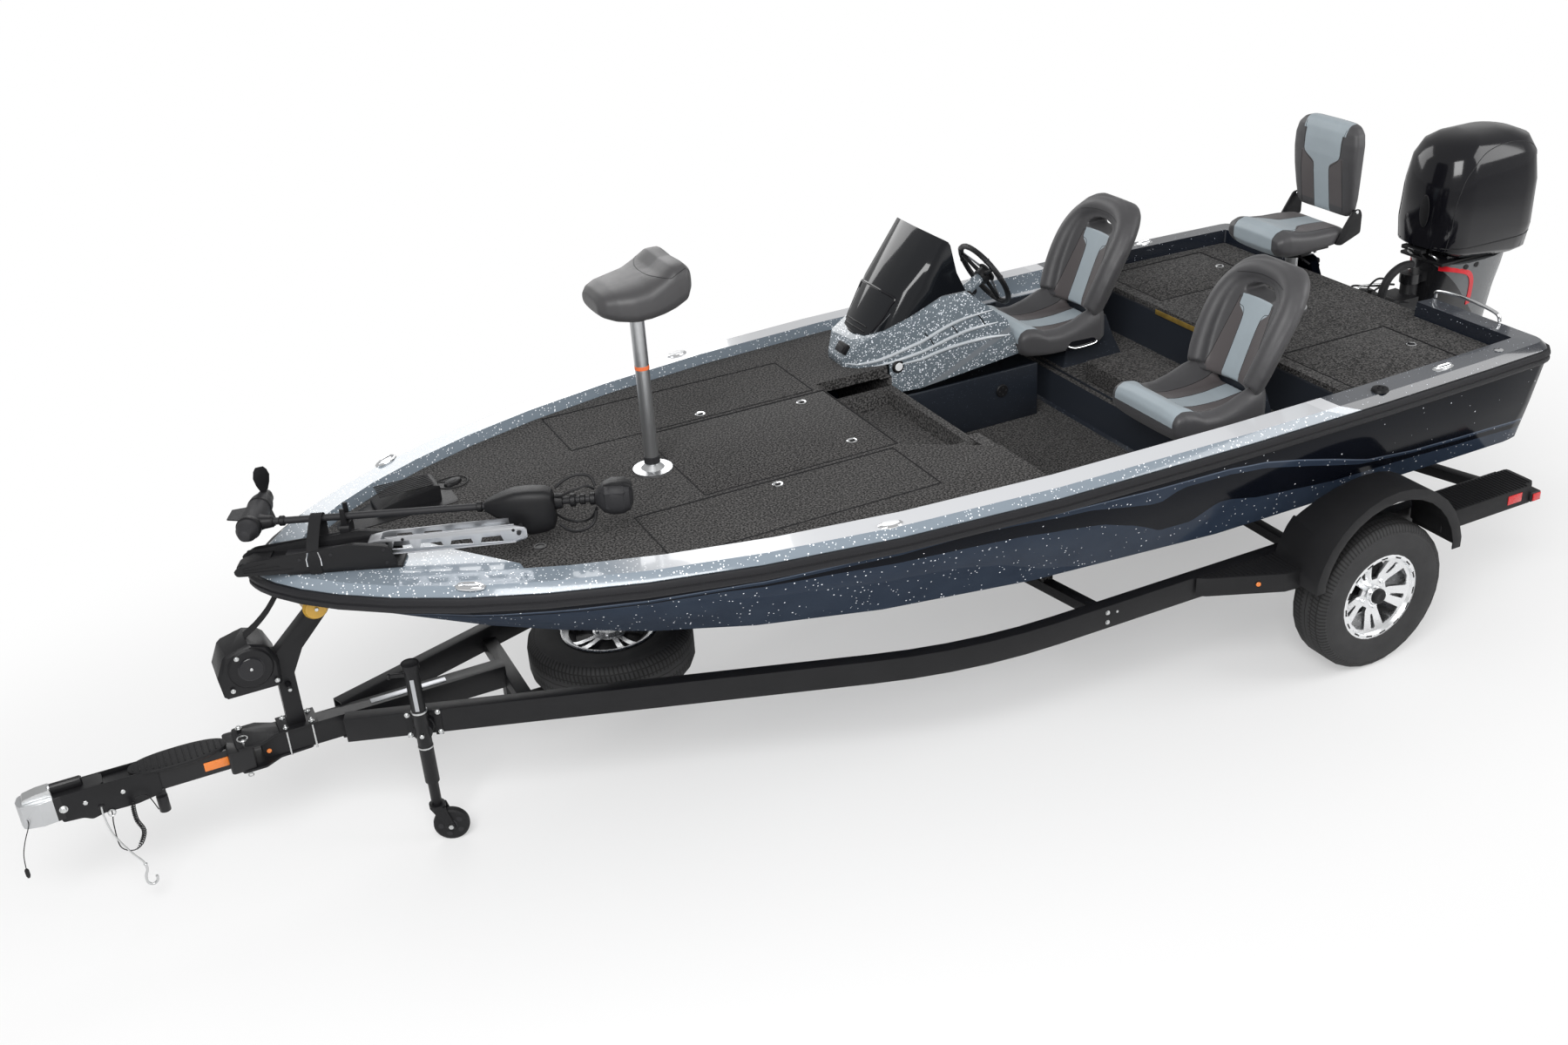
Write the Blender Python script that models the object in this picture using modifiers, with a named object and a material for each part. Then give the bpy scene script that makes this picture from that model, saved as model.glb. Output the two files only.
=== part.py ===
# Bass boat on its single-axle trailer, with lids, seats, helm, outboard and trolling motor that move.
# Metres. Lengths run forward (+X) from the hull's stern, sideways (+Y) to port, heights from the floor.
import bpy
import bmesh
from math import sin, cos, tan, pi, radians
from mathutils import Vector, Matrix

for old in list(bpy.data.objects):
    bpy.data.objects.remove(old, do_unlink=True)

boatSet = bpy.data.collections.new("bass_boat")
toolSet = bpy.data.collections.new("cutters")
for made in (boatSet, toolSet):
    bpy.context.scene.collection.children.link(made)

# ends of the whole: coupler tip and the outboard's aft face; the frame stands halfway between them
couplerTipX = 6.720
outboardAftX = -0.950
frame = bpy.data.objects.new("boat_frame", None)
frame.location = (-(couplerTipX + outboardAftX) / 2, 0, 0)
boatSet.objects.link(frame)
place = {frame: Vector((0, 0, 0))}
seat = 0.0003    # gap between pieces that rest on each other
seam = 0.005     # gap round what moves

# finish: colour, roughness, metallic
finishes = {
    "blackGel": ((0.012, 0.013, 0.017), 0.18, 0.0),
    "silverGel": ((0.62, 0.64, 0.67), 0.25, 0.1),
    "carpet": ((0.20, 0.21, 0.23), 0.95, 0.0),
    "linerGrey": ((0.13, 0.14, 0.15), 0.6, 0.0),
    "vinyl": ((0.09, 0.095, 0.105), 0.55, 0.0),
    "paleVinyl": ((0.48, 0.55, 0.62), 0.5, 0.0),
    "blackPlastic": ((0.015, 0.015, 0.016), 0.45, 0.0),
    "smokeScreen": ((0.05, 0.05, 0.06), 0.1, 0.0),
    "alloy": ((0.60, 0.61, 0.63), 0.3, 1.0),
    "steel": ((0.45, 0.46, 0.48), 0.35, 1.0),
    "blackSteel": ((0.012, 0.013, 0.015), 0.3, 0.0),
    "chromeRim": ((0.80, 0.81, 0.83), 0.12, 1.0),
    "rubber": ((0.018, 0.018, 0.018), 0.85, 0.0),
    "darkTrim": ((0.06, 0.06, 0.065), 0.5, 0.0),
    "cowlBlack": ((0.01, 0.01, 0.012), 0.12, 0.0),
    "legGrey": ((0.05, 0.052, 0.056), 0.3, 0.2),
}
coats = {}
for coatName, (colour, rough, metal) in finishes.items():
    coat = bpy.data.materials.new(coatName)
    coat.use_nodes = True
    gloss = coat.node_tree.nodes["Principled BSDF"]
    gloss.inputs["Base Color"].default_value = (*colour, 1.0)
    gloss.inputs["Roughness"].default_value = rough
    gloss.inputs["Metallic"].default_value = metal
    coat.diffuse_color = (*colour, 1.0)
    coats[coatName] = coat


# shapes

def solid(name, bm, at=(0, 0, 0), turn=None):
    bmesh.ops.recalc_face_normals(bm, faces=bm.faces)
    mesh = bpy.data.meshes.new(name)
    bm.to_mesh(mesh)
    bm.free()
    shape = bpy.data.objects.new(name, mesh)
    shape.location = at
    if turn is not None:
        shape.rotation_euler = turn.to_euler()
    toolSet.objects.link(shape)
    return shape


def softened(shape, width, segments=1, angle=40):
    if width:
        bevel = shape.modifiers.new("soften", 'BEVEL')
        bevel.width = width
        bevel.segments = segments
        bevel.limit_method = 'ANGLE'
        bevel.angle_limit = radians(angle)
    return shape


def block(x, y, z, bevel=0.0, segments=1):
    spans = [sorted(pair) for pair in (x, y, z)]
    bm = bmesh.new()
    bmesh.ops.create_cube(bm, size=1.0)
    bmesh.ops.scale(bm, vec=[high - low for low, high in spans], verts=bm.verts)
    return softened(solid("block", bm, [(low + high) / 2 for low, high in spans]), bevel, segments)


def rod(a, b, r, tip=None, sides=20):
    a, b = Vector(a), Vector(b)
    bm = bmesh.new()
    bmesh.ops.create_cone(bm, cap_ends=True, segments=sides, radius1=r, radius2=r if tip is None else tip,
                          depth=(b - a).length)
    return solid("rod", bm, (a + b) / 2, (b - a).to_track_quat('Z', 'Y'))


def turned(profile, at, axis, steps=32, ring=False):
    """profile: radius, height pairs, from the top down on the outside; ring closes it on itself"""
    bm = bmesh.new()
    points = [bm.verts.new((r, 0, h)) for r, h in profile]
    for a, b in zip(points, points[1:] + (points[:1] if ring else [])):
        bm.edges.new((a, b))
    mesh = bpy.data.meshes.new("turned")
    bm.to_mesh(mesh)
    bm.free()
    shape = bpy.data.objects.new("turned", mesh)
    shape.location = at
    shape.rotation_euler = Vector(axis).to_track_quat('Z', 'Y').to_euler()
    toolSet.objects.link(shape)
    screw = shape.modifiers.new("turn", 'SCREW')
    screw.steps = screw.render_steps = steps
    screw.use_merge_vertices = True
    screw.merge_threshold = 0.00001
    screw.use_smooth_shade = True
    return shape


def meshed(curve, at, turn):
    drawn = bpy.data.objects.new("drawn", curve)
    drawn.location = at
    drawn.rotation_euler = turn
    toolSet.objects.link(drawn)
    bpy.context.view_layer.update()
    ready = drawn.evaluated_get(bpy.context.evaluated_depsgraph_get())
    mesh = bpy.data.meshes.new_from_object(ready)
    bm = bmesh.new()
    bm.from_mesh(mesh)
    bmesh.ops.remove_doubles(bm, verts=bm.verts, dist=0.00001)
    bmesh.ops.recalc_face_normals(bm, faces=bm.faces)
    bm.to_mesh(mesh)
    bm.free()
    shape = bpy.data.objects.new("drawn", mesh)
    shape.matrix_world = drawn.matrix_world.copy()
    toolSet.objects.link(shape)
    bpy.data.objects.remove(drawn, do_unlink=True)
    return shape


facings = {"Z": (0, 0, 0), "Y": (pi / 2, 0, 0), "X": (pi / 2, 0, pi / 2)}


def plate(outline, low, high, facing="Z", holes=()):
    """flat outline filled and thickened from low to high along its facing;
    the outline is in (x, y) for Z, (x, z) for Y and (y, z) for X"""
    low, high = sorted((low, high))
    curve = bpy.data.curves.new("outline", 'CURVE')
    curve.dimensions = '2D'
    curve.fill_mode = 'BOTH'
    curve.extrude = (high - low) / 2
    for loop in (outline, *holes):
        spline = curve.splines.new('POLY')
        spline.points.add(len(loop) - 1)
        for point, (u, v) in zip(spline.points, loop):
            point.co = (u, v, 0, 1)
        spline.use_cyclic_u = True
    middle = (low + high) / 2
    at = {"Z": (0, 0, middle), "Y": (0, middle, 0), "X": (middle, 0, 0)}[facing]
    return meshed(curve, at, facings[facing])


def tube(points, r, resolution=2):
    curve = bpy.data.curves.new("path", 'CURVE')
    curve.dimensions = '3D'
    curve.bevel_depth = r
    curve.bevel_resolution = resolution
    curve.use_fill_caps = True
    spline = curve.splines.new('POLY')
    spline.points.add(len(points) - 1)
    for point, co in zip(spline.points, points):
        point.co = (*co, 1)
    return meshed(curve, (0, 0, 0), (0, 0, 0))


def loft(rings, first=True, last=True):
    bm = bmesh.new()
    rows = [[bm.verts.new(point) for point in ring] for ring in rings]
    for a, b in zip(rows, rows[1:]):
        for i in range(len(a)):
            j = (i + 1) % len(a)
            bm.faces.new((a[i], a[j], b[j], b[i]))
    if first:
        bm.faces.new(rows[0])
    if last:
        bm.faces.new(reversed(rows[-1]))
    bmesh.ops.remove_doubles(bm, verts=bm.verts, dist=0.00001)
    bmesh.ops.connect_verts_nonplanar(bm, angle_limit=0.0005, faces=bm.faces)
    return solid("loft", bm)


def sweep(path, profile, up, hollow=None):
    """profile (out, up) pairs carried along a path that bends about up; hollow is an inner profile"""
    path, up = [Vector(point) for point in path], Vector(up)
    sides = []
    for i, point in enumerate(path):
        before = (point - path[i - 1]).normalized() if i else None
        after = (path[i + 1] - point).normalized() if i + 1 < len(path) else None
        before, after = before or after, after or before
        along = (before + after).normalized()
        sides.append(along.cross(up) / along.dot(after))
    rings = [[p + s * out + up * high for out, high in profile] for p, s in zip(path, sides)]
    if hollow is None:
        return loft(rings)
    inner = [[p + s * out + up * high for out, high in hollow] for p, s in zip(path, sides)]
    bm = bmesh.new()
    outerRows = [[bm.verts.new(co) for co in ring] for ring in rings]
    innerRows = [[bm.verts.new(co) for co in ring] for ring in inner]
    rows = outerRows + innerRows[::-1] + outerRows[:1]
    for a, b in zip(rows, rows[1:]):
        for i in range(len(a)):
            j = (i + 1) % len(a)
            bm.faces.new((a[i], a[j], b[j], b[i]))
    return solid("tube", bm)


def rectangle(width, height, wall=0.0):
    w, h = width / 2 - wall, height / 2 - wall
    return [(-w, -h), (w, -h), (w, h), (-w, h)]


def boxTube(path, width, height, up=(0, 0, 1), wall=0.005):
    return sweep(path, rectangle(width, height), up, rectangle(width, height, wall))


def rounded(outline, r, steps=3):
    """the outline with its corners eased by curves that start r from each square corner"""
    made = []
    for i, corner in enumerate(outline):
        here = Vector(corner)
        a, b = Vector(outline[i - 1]) - here, Vector(outline[(i + 1) % len(outline)]) - here
        reach = min(r / tan(a.angle(b) / 2), a.length * 0.45, b.length * 0.45)
        start, end = here + a.normalized() * reach, here + b.normalized() * reach
        for k in range(steps + 1):
            t = k / steps
            made.append(tuple(start * (1 - t) ** 2 + here * 2 * t * (1 - t) + end * t ** 2))
    return made


def smooth(points, each=4):
    """more points on the curve through these points"""
    points = [Vector(point) for point in points]
    made = []
    for i in range(len(points) - 1):
        p0, p1, p2 = points[max(i - 1, 0)], points[i], points[i + 1]
        p3 = points[min(i + 2, len(points) - 1)]
        for k in range(each):
            t = k / each
            made.append(0.5 * (2 * p1 + (p2 - p0) * t + (2 * p0 - 5 * p1 + 4 * p2 - p3) * t ** 2
                               + (3 * p1 - p0 - 3 * p2 + p3) * t ** 3))
    return made + [points[-1]]


# pieces

def combine(shape, other, how):
    join = shape.modifiers.new(how.lower(), 'BOOLEAN')
    join.operation = how
    join.solver = 'EXACT'
    join.object = other
    other.hide_render = True
    other.display_type = 'WIRE'
    return shape


def common(shape, other):
    return combine(shape, other, 'INTERSECT')


def without(shape, *cuts):
    for cut in cuts:
        combine(shape, cut, 'DIFFERENCE')
    return shape


def anchor(name, at, on=frame, turn=0.0):
    """an empty on a joint's axis; at is in the boat's own lengths"""
    empty = bpy.data.objects.new(name, None)
    empty.empty_display_size = 0.1
    empty.parent = on
    empty.location = Vector(at) - place[on]
    empty.rotation_euler = (0, 0, turn)
    boatSet.objects.link(empty)
    place[empty] = Vector(at)
    return empty


def piece(name, shapes, coat, on=frame, cuts=(), flat=35, local=False):
    """one named solid: shapes joined, cuts taken out, parented to the empty it moves with"""
    body = shapes[0]
    for other in shapes[1:]:
        combine(body, other, 'UNION')
    without(body, *cuts)
    body.name = body.data.name = name
    for loose in [one for one in toolSet.objects if one.parent is None]:
        loose.parent = on
        if not local:
            loose.location -= place[on]
    toolSet.objects.unlink(body)
    boatSet.objects.link(body)
    body.data.materials.append(coats[coat])
    if not any(one.type == 'SCREW' for one in body.modifiers):
        body.data.shade_smooth()
        body.data.set_sharp_from_angle(angle=radians(flat))
    return body


# hull

bowX = 5.670          # tip of the bow at the rub rail
fullX = 1.800         # where the plan is widest
halfBeam = 1.185      # hull at the rail; the rub rail stands 18 mm outside it
sternTuck = 0.055
cornerR = 0.090
wellY = 0.420         # half width of the notch in the transom
hullTop = 1.300
railLow = 1.250
skin = 0.009

bowSteps = (1, 0.9985, 0.995, 0.985, 0.965, 0.935, 0.89, 0.83, 0.76, 0.67, 0.56, 0.42, 0.24, 0)
sideX = (1.07, 0.45)


def planY(x, inset=0.0):
    """half breadth at x of the plan line that lies inset inside the hull's top edge"""
    if x > fullX:
        along = min((x - fullX) / (bowX - 1.3 * inset - fullX), 1)
        return (halfBeam - inset) * (1 - along ** 2.8) ** 0.66
    return halfBeam - inset - sternTuck * ((fullX - x) / fullX) ** 2


def planLine(inset=0.0):
    """port half of that line from the bow tip to the transom's centre line side"""
    line = [(fullX + (bowX - 1.3 * inset - fullX) * step, planY(fullX + (bowX - 1.3 * inset - fullX) * step,
                                                               inset)) for step in bowSteps]
    line += [(x, planY(x, inset)) for x in sideX]
    r = max(cornerR - inset, 0.012)
    centre = (inset + r, planY(inset + r, inset) - r)
    line += [(centre[0] - r * sin(a), centre[1] + r * cos(a)) for a in (0, pi / 6, pi / 3, pi / 2)]
    return line


def alongRail(profile):
    """loft of an (inset, height) profile round the boat from one side of the notch to the other"""
    rings = []
    for inset, high in profile:
        port = [(x, y) for x, y in planLine(inset)] + [(inset, wellY)]
        loop = [(x, -y) for x, y in port[:0:-1]] + port
        rings.append([(x, y, high) for x, y in loop])
    return loft([list(ring) for ring in zip(*rings)])


# hull sections: x at the rail and chine and keel, chine half breadth, heights of chine and keel
hullColumns = ("railX", "chineX", "keelX", "chineY", "chineZ", "keelZ")
hullSections = (
    (0.00, 0.00, 0.00, 0.985, 0.806, 0.530),
    (0.08, 0.08, 0.08, 1.000, 0.806, 0.530),
    (0.90, 0.90, 0.90, 1.005, 0.806, 0.530),
    (1.80, 1.80, 1.80, 1.005, 0.806, 0.530),
    (2.60, 2.60, 2.60, 0.985, 0.838, 0.538),
    (3.25, 3.25, 3.20, 0.945, 0.880, 0.565),
    (3.80, 3.78, 3.70, 0.870, 0.925, 0.600),
    (4.25, 4.20, 4.10, 0.765, 0.965, 0.665),
    (4.65, 4.57, 4.45, 0.635, 1.015, 0.748),
    (5.00, 4.89, 4.78, 0.480, 1.060, 0.845),
    (5.28, 5.14, 5.05, 0.325, 1.105, 0.950),
    (5.48, 5.33, 5.27, 0.180, 1.150, 1.052),
    (5.60, 5.45, 5.42, 0.075, 1.185, 1.135),
    (5.67, 5.56, 5.53, 0.000, 1.205, 1.190))


def hullAt(x, column):
    """the table's column read on a smooth curve at rail station x"""
    k = hullColumns.index(column)
    rows = hullSections
    i = max(j for j in range(len(rows) - 1) if rows[j][0] <= max(x, 0))
    x0, x1 = rows[i][0], rows[i + 1][0]
    t = min(max((x - x0) / (x1 - x0), 0), 1)

    def slope(j):
        a, b = rows[max(j - 1, 0)], rows[min(j + 1, len(rows) - 1)]
        return (b[k] - a[k]) / (b[0] - a[0])
    h = x1 - x0
    return ((2 * t ** 3 - 3 * t ** 2 + 1) * rows[i][k] + (t ** 3 - 2 * t ** 2 + t) * h * slope(i)
            + (3 * t ** 2 - 2 * t ** 3) * rows[i + 1][k] + (t ** 3 - t ** 2) * h * slope(i + 1))


def hullRing(station, inset=0.0, top=hullTop):
    """section of the hull from its port top edge round the keel to the starboard one"""
    railX, railY = station
    at = {name: hullAt(railX, name) for name in hullColumns[1:]}
    if railX < 0.09:
        at["chineY"] = min(at["chineY"], railY - 0.03)
    cy, cz = max(at["chineY"] - inset, 0), at["chineZ"] + inset
    flat = min(0.07, cy * 0.25)
    inner = Vector((at["chineX"], cy - flat, cz - flat * 0.17))
    keel = Vector((at["keelX"], 0, at["keelZ"] + inset))
    chine = Vector((at["chineX"], cy, cz))
    low = Vector((railX, railY, railLow))
    middle = chine.lerp(low, 0.5) + Vector((0, min(0.012, railY * 0.05), 0))
    half = [Vector((railX, railY, top)), low, middle, chine, inner, keel.lerp(inner, 0.5)]
    return half + [keel] + [Vector((p.x, -p.y, p.z)) for p in half[::-1]]


outerLine, innerLine = planLine(), planLine(skin)
transomBoard = 0.050
cavity = [hullRing((x, y), skin, 1.5) for x, y in innerLine[5:-4]]
cavity += [hullRing((x, planY(x) - 0.030), skin, 1.5) for x in (0.12, transomBoard)]
notch = plate([(-wellY, 1.301), (-0.34, 1.150), (0.34, 1.150), (wellY, 1.301), (wellY, 1.4), (-wellY, 1.4)],
              -0.1, 0.2, "X")
bowPocket = [(x, y) for x, y in planLine(0.012) if x > 4.5]
bowPocket = plate([(x, -y) for x, y in bowPocket[:0:-1]] + bowPocket, 1.238, 1.400)
piece("hull", [loft([hullRing(station) for station in outerLine], first=False)], "blackGel",
      cuts=[loft(cavity), notch, bowPocket], flat=25)

piece("rub_rail", [alongRail([(-seat, 1.250), (-0.012, 1.250), (-0.018, 1.262), (-0.018, 1.274),
                              (-0.013, 1.277), (-0.013, 1.283), (-0.018, 1.286), (-0.018, 1.298),
                              (-0.012, 1.310),
                              (-seat, 1.310)])], "darkTrim")

# gunwale cap: outer lip, shoulder with the crease, top, coaming and the flange the decks lie on
flangeZ = 1.250
cap = alongRail([(0, hullTop + seat), (0, 1.312), (0.008, 1.321), (0.032, 1.342), (0.137, 1.346),
                 (0.1497, flangeZ + 0.0003), (0.185, flangeZ), (0.185, flangeZ - 0.006),
                 (0.144, flangeZ - 0.006), (0.131, 1.340), (0.0345, 1.336), (0.0085, 1.315),
                 (0.0085, hullTop + seat)])
deckEdge = 0.1530
deckLow = flangeZ + seat
frontDeckTop = 1.300
rearDeckTop = 1.278
platform = [(4.77, 0.575), (4.77, planY(4.77, 0.14))]
platform += [(x, y) for x, y in planLine(0.14)[::-1] if x > 4.79]
platform += [(5.30, -0.02), (5.10, 0.10), (4.96, 0.32)]
piece("gunwale_cap", [cap, plate(platform, frontDeckTop + seat, 1.3455)], "silverGel", flat=30)

# decks and lids

# lid: x from and to, y from and to, hinge side, opens to (degrees)
lids = {
    "centre_lid": (3.010, 3.9075, -0.345, 0.345, "front", 72),
    "rod_lid_port": (3.050, 4.230, 0.380, 0.775, "outboard", 88),
    "rod_lid_starboard": (3.050, 4.230, -0.380, -0.775, "outboard", 88),
    "rear_lid_port": (0.370, 1.000, 0.450, 0.930, "outboard", 88),
    "rear_lid_starboard": (0.370, 1.000, -0.450, -0.930, "outboard", 88)}
frontEdgeX = 2.620
trayX = 3.000
trayY = (-0.430, 0.350)
rearEdgeX = 1.070


def hole(name):
    x0, x1, y0, y1 = lids[name][:4]
    y0, y1 = sorted((y0, y1))
    return [(x0 - seam, y0 - seam), (x1 + seam, y0 - seam), (x1 + seam, y1 + seam), (x0 - seam, y1 + seam)]


forward = [(x, y) for x, y in planLine(deckEdge) if x > frontEdgeX + 0.05]
frontDeck = [(frontEdgeX, -planY(frontEdgeX, deckEdge))] + [(x, -y) for x, y in forward[:0:-1]] + forward
frontDeck += [(2.650, planY(2.650, deckEdge)), (2.650, 0.607), (trayX, 0.360), (trayX, 0.350),
              (lids["centre_lid"][1] + seam, 0.350), (lids["centre_lid"][1] + seam, -0.350),
              (trayX, -0.350), (trayX, trayY[0]), (frontEdgeX, trayY[0])]
piece("front_deck", [plate(frontDeck, deckLow, frontDeckTop,
                           holes=[hole("rod_lid_port"), hole("rod_lid_starboard")])], "carpet")

aft = [(x, y) for x, y in planLine(deckEdge) if x < rearEdgeX - 0.05] + [(deckEdge, wellY - 0.001),
                                                                        (0.100, wellY - 0.001)]
rearDeck = [(rearEdgeX, planY(rearEdgeX, deckEdge))] + aft + [(x, -y) for x, y in aft[::-1]]
rearDeck += [(rearEdgeX, -planY(rearEdgeX, deckEdge))]
piece("rear_deck", [plate(rearDeck, deckLow, rearDeckTop,
                          holes=[hole("rear_lid_port"), hole("rear_lid_starboard")]),
                    block((0.1005, 0.108), (-0.415, 0.415), (1.160, 1.265))], "carpet")

for name, (x0, x1, y0, y1, hinge, opens) in lids.items():
    top = rearDeckTop if "rear" in name else frontDeckTop
    axis = (x1, 0, top) if hinge == "front" else ((x0 + x1) / 2, y1, top)
    piece(name, [block((x0, x1), (y0, y1), (deckLow, top))], "carpet", anchor(name + "_hinge", axis))


# cockpit

floorZ = 0.860
benchZ = 1.030
benchX = 1.650
wall = 0.012


def tub(x, z, halfLow, halfHigh):
    return loft([[(x[0], -half, high), (x[1], -half, high), (x[1], half, high), (x[0], half, high)]
                 for high, half in ((z[0], halfLow), (z[1], halfHigh))])


liner = [tub((1.058, 2.612), (floorZ - wall, 1.2437), 0.967, 1.012),
         block((2.6005, 2.9995), trayY, (1.100, 1.200))]
linerCuts = [tub((rearEdgeX, 2.600), (benchZ, 1.300), 0.979, 1.006),
             tub((benchX, 2.600), (floorZ, 1.300), 0.955, 1.010),
             block((1.080, 1.636), (-0.945, 0.945), (0.800, benchZ - wall)),
             block((2.590, 2.620), (-0.4295, 0.3495), (1.200, 1.300)),
             block((2.640, 2.960), (-0.390, 0.310), (1.115, 1.300))]
# locker: lid, floor height
for name, low in (("centre_lid", 0.850), ("rod_lid_port", 1.095), ("rod_lid_starboard", 1.095),
                  ("rear_lid_port", 0.960), ("rear_lid_starboard", 0.960)):
    x0, x1, y0, y1 = lids[name][:4]
    y0, y1 = sorted((y0, y1))
    liner.append(block((x0 + 0.010, x1 - 0.010), (y0 + 0.010, y1 - 0.010), (low, flangeZ - seat)))
    liner.append(block((x0 - 0.020, x1 + 0.022), (y0 - 0.020, y1 + 0.020),
                       (flangeZ - 0.008, flangeZ - seat)))
    linerCuts.append(block((x0 + 0.018, x1 - 0.018), (y0 + 0.018, y1 - 0.018), (low + 0.008, 1.300)))
liner += [block((2.980, 3.030), (trayY[0], trayY[1]), (1.190, flangeZ - 0.0005)),
          block((0.980, 1.069), (-0.975, 0.975), (flangeZ - 0.0075, flangeZ - 0.0005)),
          block((2.6015, 2.660), (-0.975, -0.4305), (flangeZ - 0.0075, flangeZ - 0.0005)),
          block((2.6015, 2.660), (0.3505, 0.975), (flangeZ - 0.0075, flangeZ - 0.0005))]
linerCuts.append(alongRail([(0.100, 1.2437), (0.1865, 1.2437), (0.1865, 1.2520), (0.100, 1.2520)]))
piece("cockpit_liner", liner, "linerGrey", cuts=linerCuts)

# seats: plinths, cushions and reclined backs either side, with the step box between them
seatY = 0.600
seatHalf = 0.260
base = [block((1.200, 1.620), (-0.780, 0.780), (benchZ + seat, 1.044)),
        block((1.210, 1.540), (-0.250, 0.250), (1.040, 1.100), 0.008)]
for side in (1, -1):
    y = side * seatY
    base.append(plate([(1.24, 1.043), (1.60, 1.043), (1.58, 1.1597), (1.384, 1.1597), (1.384, 1.2888),
                       (1.345, 1.2763), (1.30, 1.16)], y - 0.15, y + 0.15, "Y"))
piece("seat_base", base, "blackPlastic")
cushion = [(1.385, 1.160), (1.830, 1.160), (1.880, 1.215), (1.915, 1.300), (1.885, 1.358), (1.820, 1.366),
           (1.620, 1.318), (1.470, 1.280), (1.385, 1.272)]
backRest = [(1.325, 1.2705), (1.452, 1.312), (1.400, 1.420), (1.255, 1.730), (1.215, 1.800), (1.150, 1.815),
            (1.100, 1.770), (1.150, 1.620)]
for sideName, side in (("port", 1), ("starboard", -1)):
    span = (side * seatY - seatHalf, side * seatY + seatHalf)
    piece("seat_cushion_" + sideName, [softened(plate(rounded(cushion, 0.02, 2), *span, "Y"), 0.02)], "vinyl")
    slot = softened(block((1.05, 1.40), (side * seatY - 0.10, side * seatY + 0.10), (1.600, 1.680)), 0.02)
    piece("seat_back_" + sideName, [softened(plate(rounded(backRest, 0.02, 2), *span, "Y"), 0.02)], "vinyl",
          cuts=[slot])

# console, its screen and the helm
consoleY = -0.620
side = [(1.900, 1.212), (2.5995, 1.146), (2.5995, frontDeckTop + seat), (2.800, frontDeckTop + seat),
        (2.800, 1.335), (2.740, 1.420), (2.330, 1.597), (2.190, 1.590), (1.965, 1.400)]
inside = [(1.912, 1.000), (2.791, 1.000), (2.791, 1.332), (2.735, 1.411), (2.330, 1.588), (2.194, 1.581),
          (1.974, 1.394), (1.910, 1.214)]
plan = [(1.85, -0.840), (2.45, -0.840), (2.75, -0.750), (2.81, -0.680), (2.81, -0.560), (2.75, -0.490),
        (2.45, -0.400), (1.85, -0.400)]
planInside = [(1.80, -0.832), (2.445, -0.832), (2.745, -0.742), (2.80, -0.676), (2.80, -0.564),
              (2.745, -0.498), (2.445, -0.408), (1.80, -0.408)]
shell = without(common(plate(side, -0.9, -0.3, "Y"), plate(plan, 1.0, 1.8)),
                common(plate(inside, -0.95, -0.25, "Y"), plate(planInside, 0.9, 1.9)))
wheelAt = Vector((1.957, consoleY, 1.571))
wheelAxis = Vector((-0.875, 0, 0.484)).normalized()
column = rod(wheelAt - wheelAxis * 0.150, wheelAt - wheelAxis * 0.0305, 0.036, 0.026)
piece("console", [shell, column], "blackGel")

screenRows = []
# screen: along it, foot x and half width, head x and half width, head height
for foot, footY, head, headY, headZ in (
        (2.200, 0.216, 2.290, 0.232, 1.845), (2.330, 0.214, 2.300, 0.231, 1.862),
        (2.500, 0.200, 2.315, 0.215, 1.872), (2.620, 0.165, 2.330, 0.165, 1.880),
        (2.690, 0.100, 2.340, 0.095, 1.886), (2.712, 0.000, 2.345, 0.000, 1.888)):
    footZ = 1.597 - max(foot - 2.330, 0) * 0.4317 + 0.0032
    rise = [(foot, footY, footZ), (foot * 0.62 + head * 0.38 + 0.020, footY * 0.6 + headY * 0.4 + 0.004,
                                   footZ * 0.62 + headZ * 0.38 + 0.010), (head, headY, headZ)]
    screenRows.append(rise)
full = [[(x, consoleY + y, z) for x, y, z in row] for row in screenRows]
full += [[(x, consoleY - y, z) for x, y, z in row] for row in screenRows[-2::-1]]
bm = bmesh.new()
rows = [[bm.verts.new(co) for co in row] for row in full]
for a, b in zip(rows, rows[1:]):
    for i in range(len(a) - 1):
        bm.faces.new((a[i], a[i + 1], b[i + 1], b[i]))
screen = solid("screen", bm)
thick = screen.modifiers.new("thick", 'SOLIDIFY')
thick.thickness = 0.005
thick.offset = 0
piece("windscreen", [screen], "smokeScreen")

helm = anchor("steering_wheel_axis", wheelAt)
ringR, gripR = 0.172, 0.014
grip = [(ringR + gripR * cos(a), gripR * sin(a)) for a in [pi / 2 - pi * k / 4 for k in range(8)]]
spokes = [turned(grip, wheelAt, wheelAxis, 28, ring=True),
          rod(wheelAt - wheelAxis * 0.030, wheelAt + wheelAxis * 0.012, 0.040)]
across = wheelAxis.cross(Vector((0, 1, 0)))
for k in range(3):
    out = Vector((0, 1, 0)) * cos(2 * pi * k / 3 + pi / 2) + across * sin(2 * pi * k / 3 + pi / 2)
    spokes.append(rod(wheelAt + out * 0.02 - wheelAxis * 0.008, wheelAt + out * ringR, 0.011, 0.008, 10))
piece("steering_wheel", spokes, "blackPlastic", helm)

# seats on posts

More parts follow.
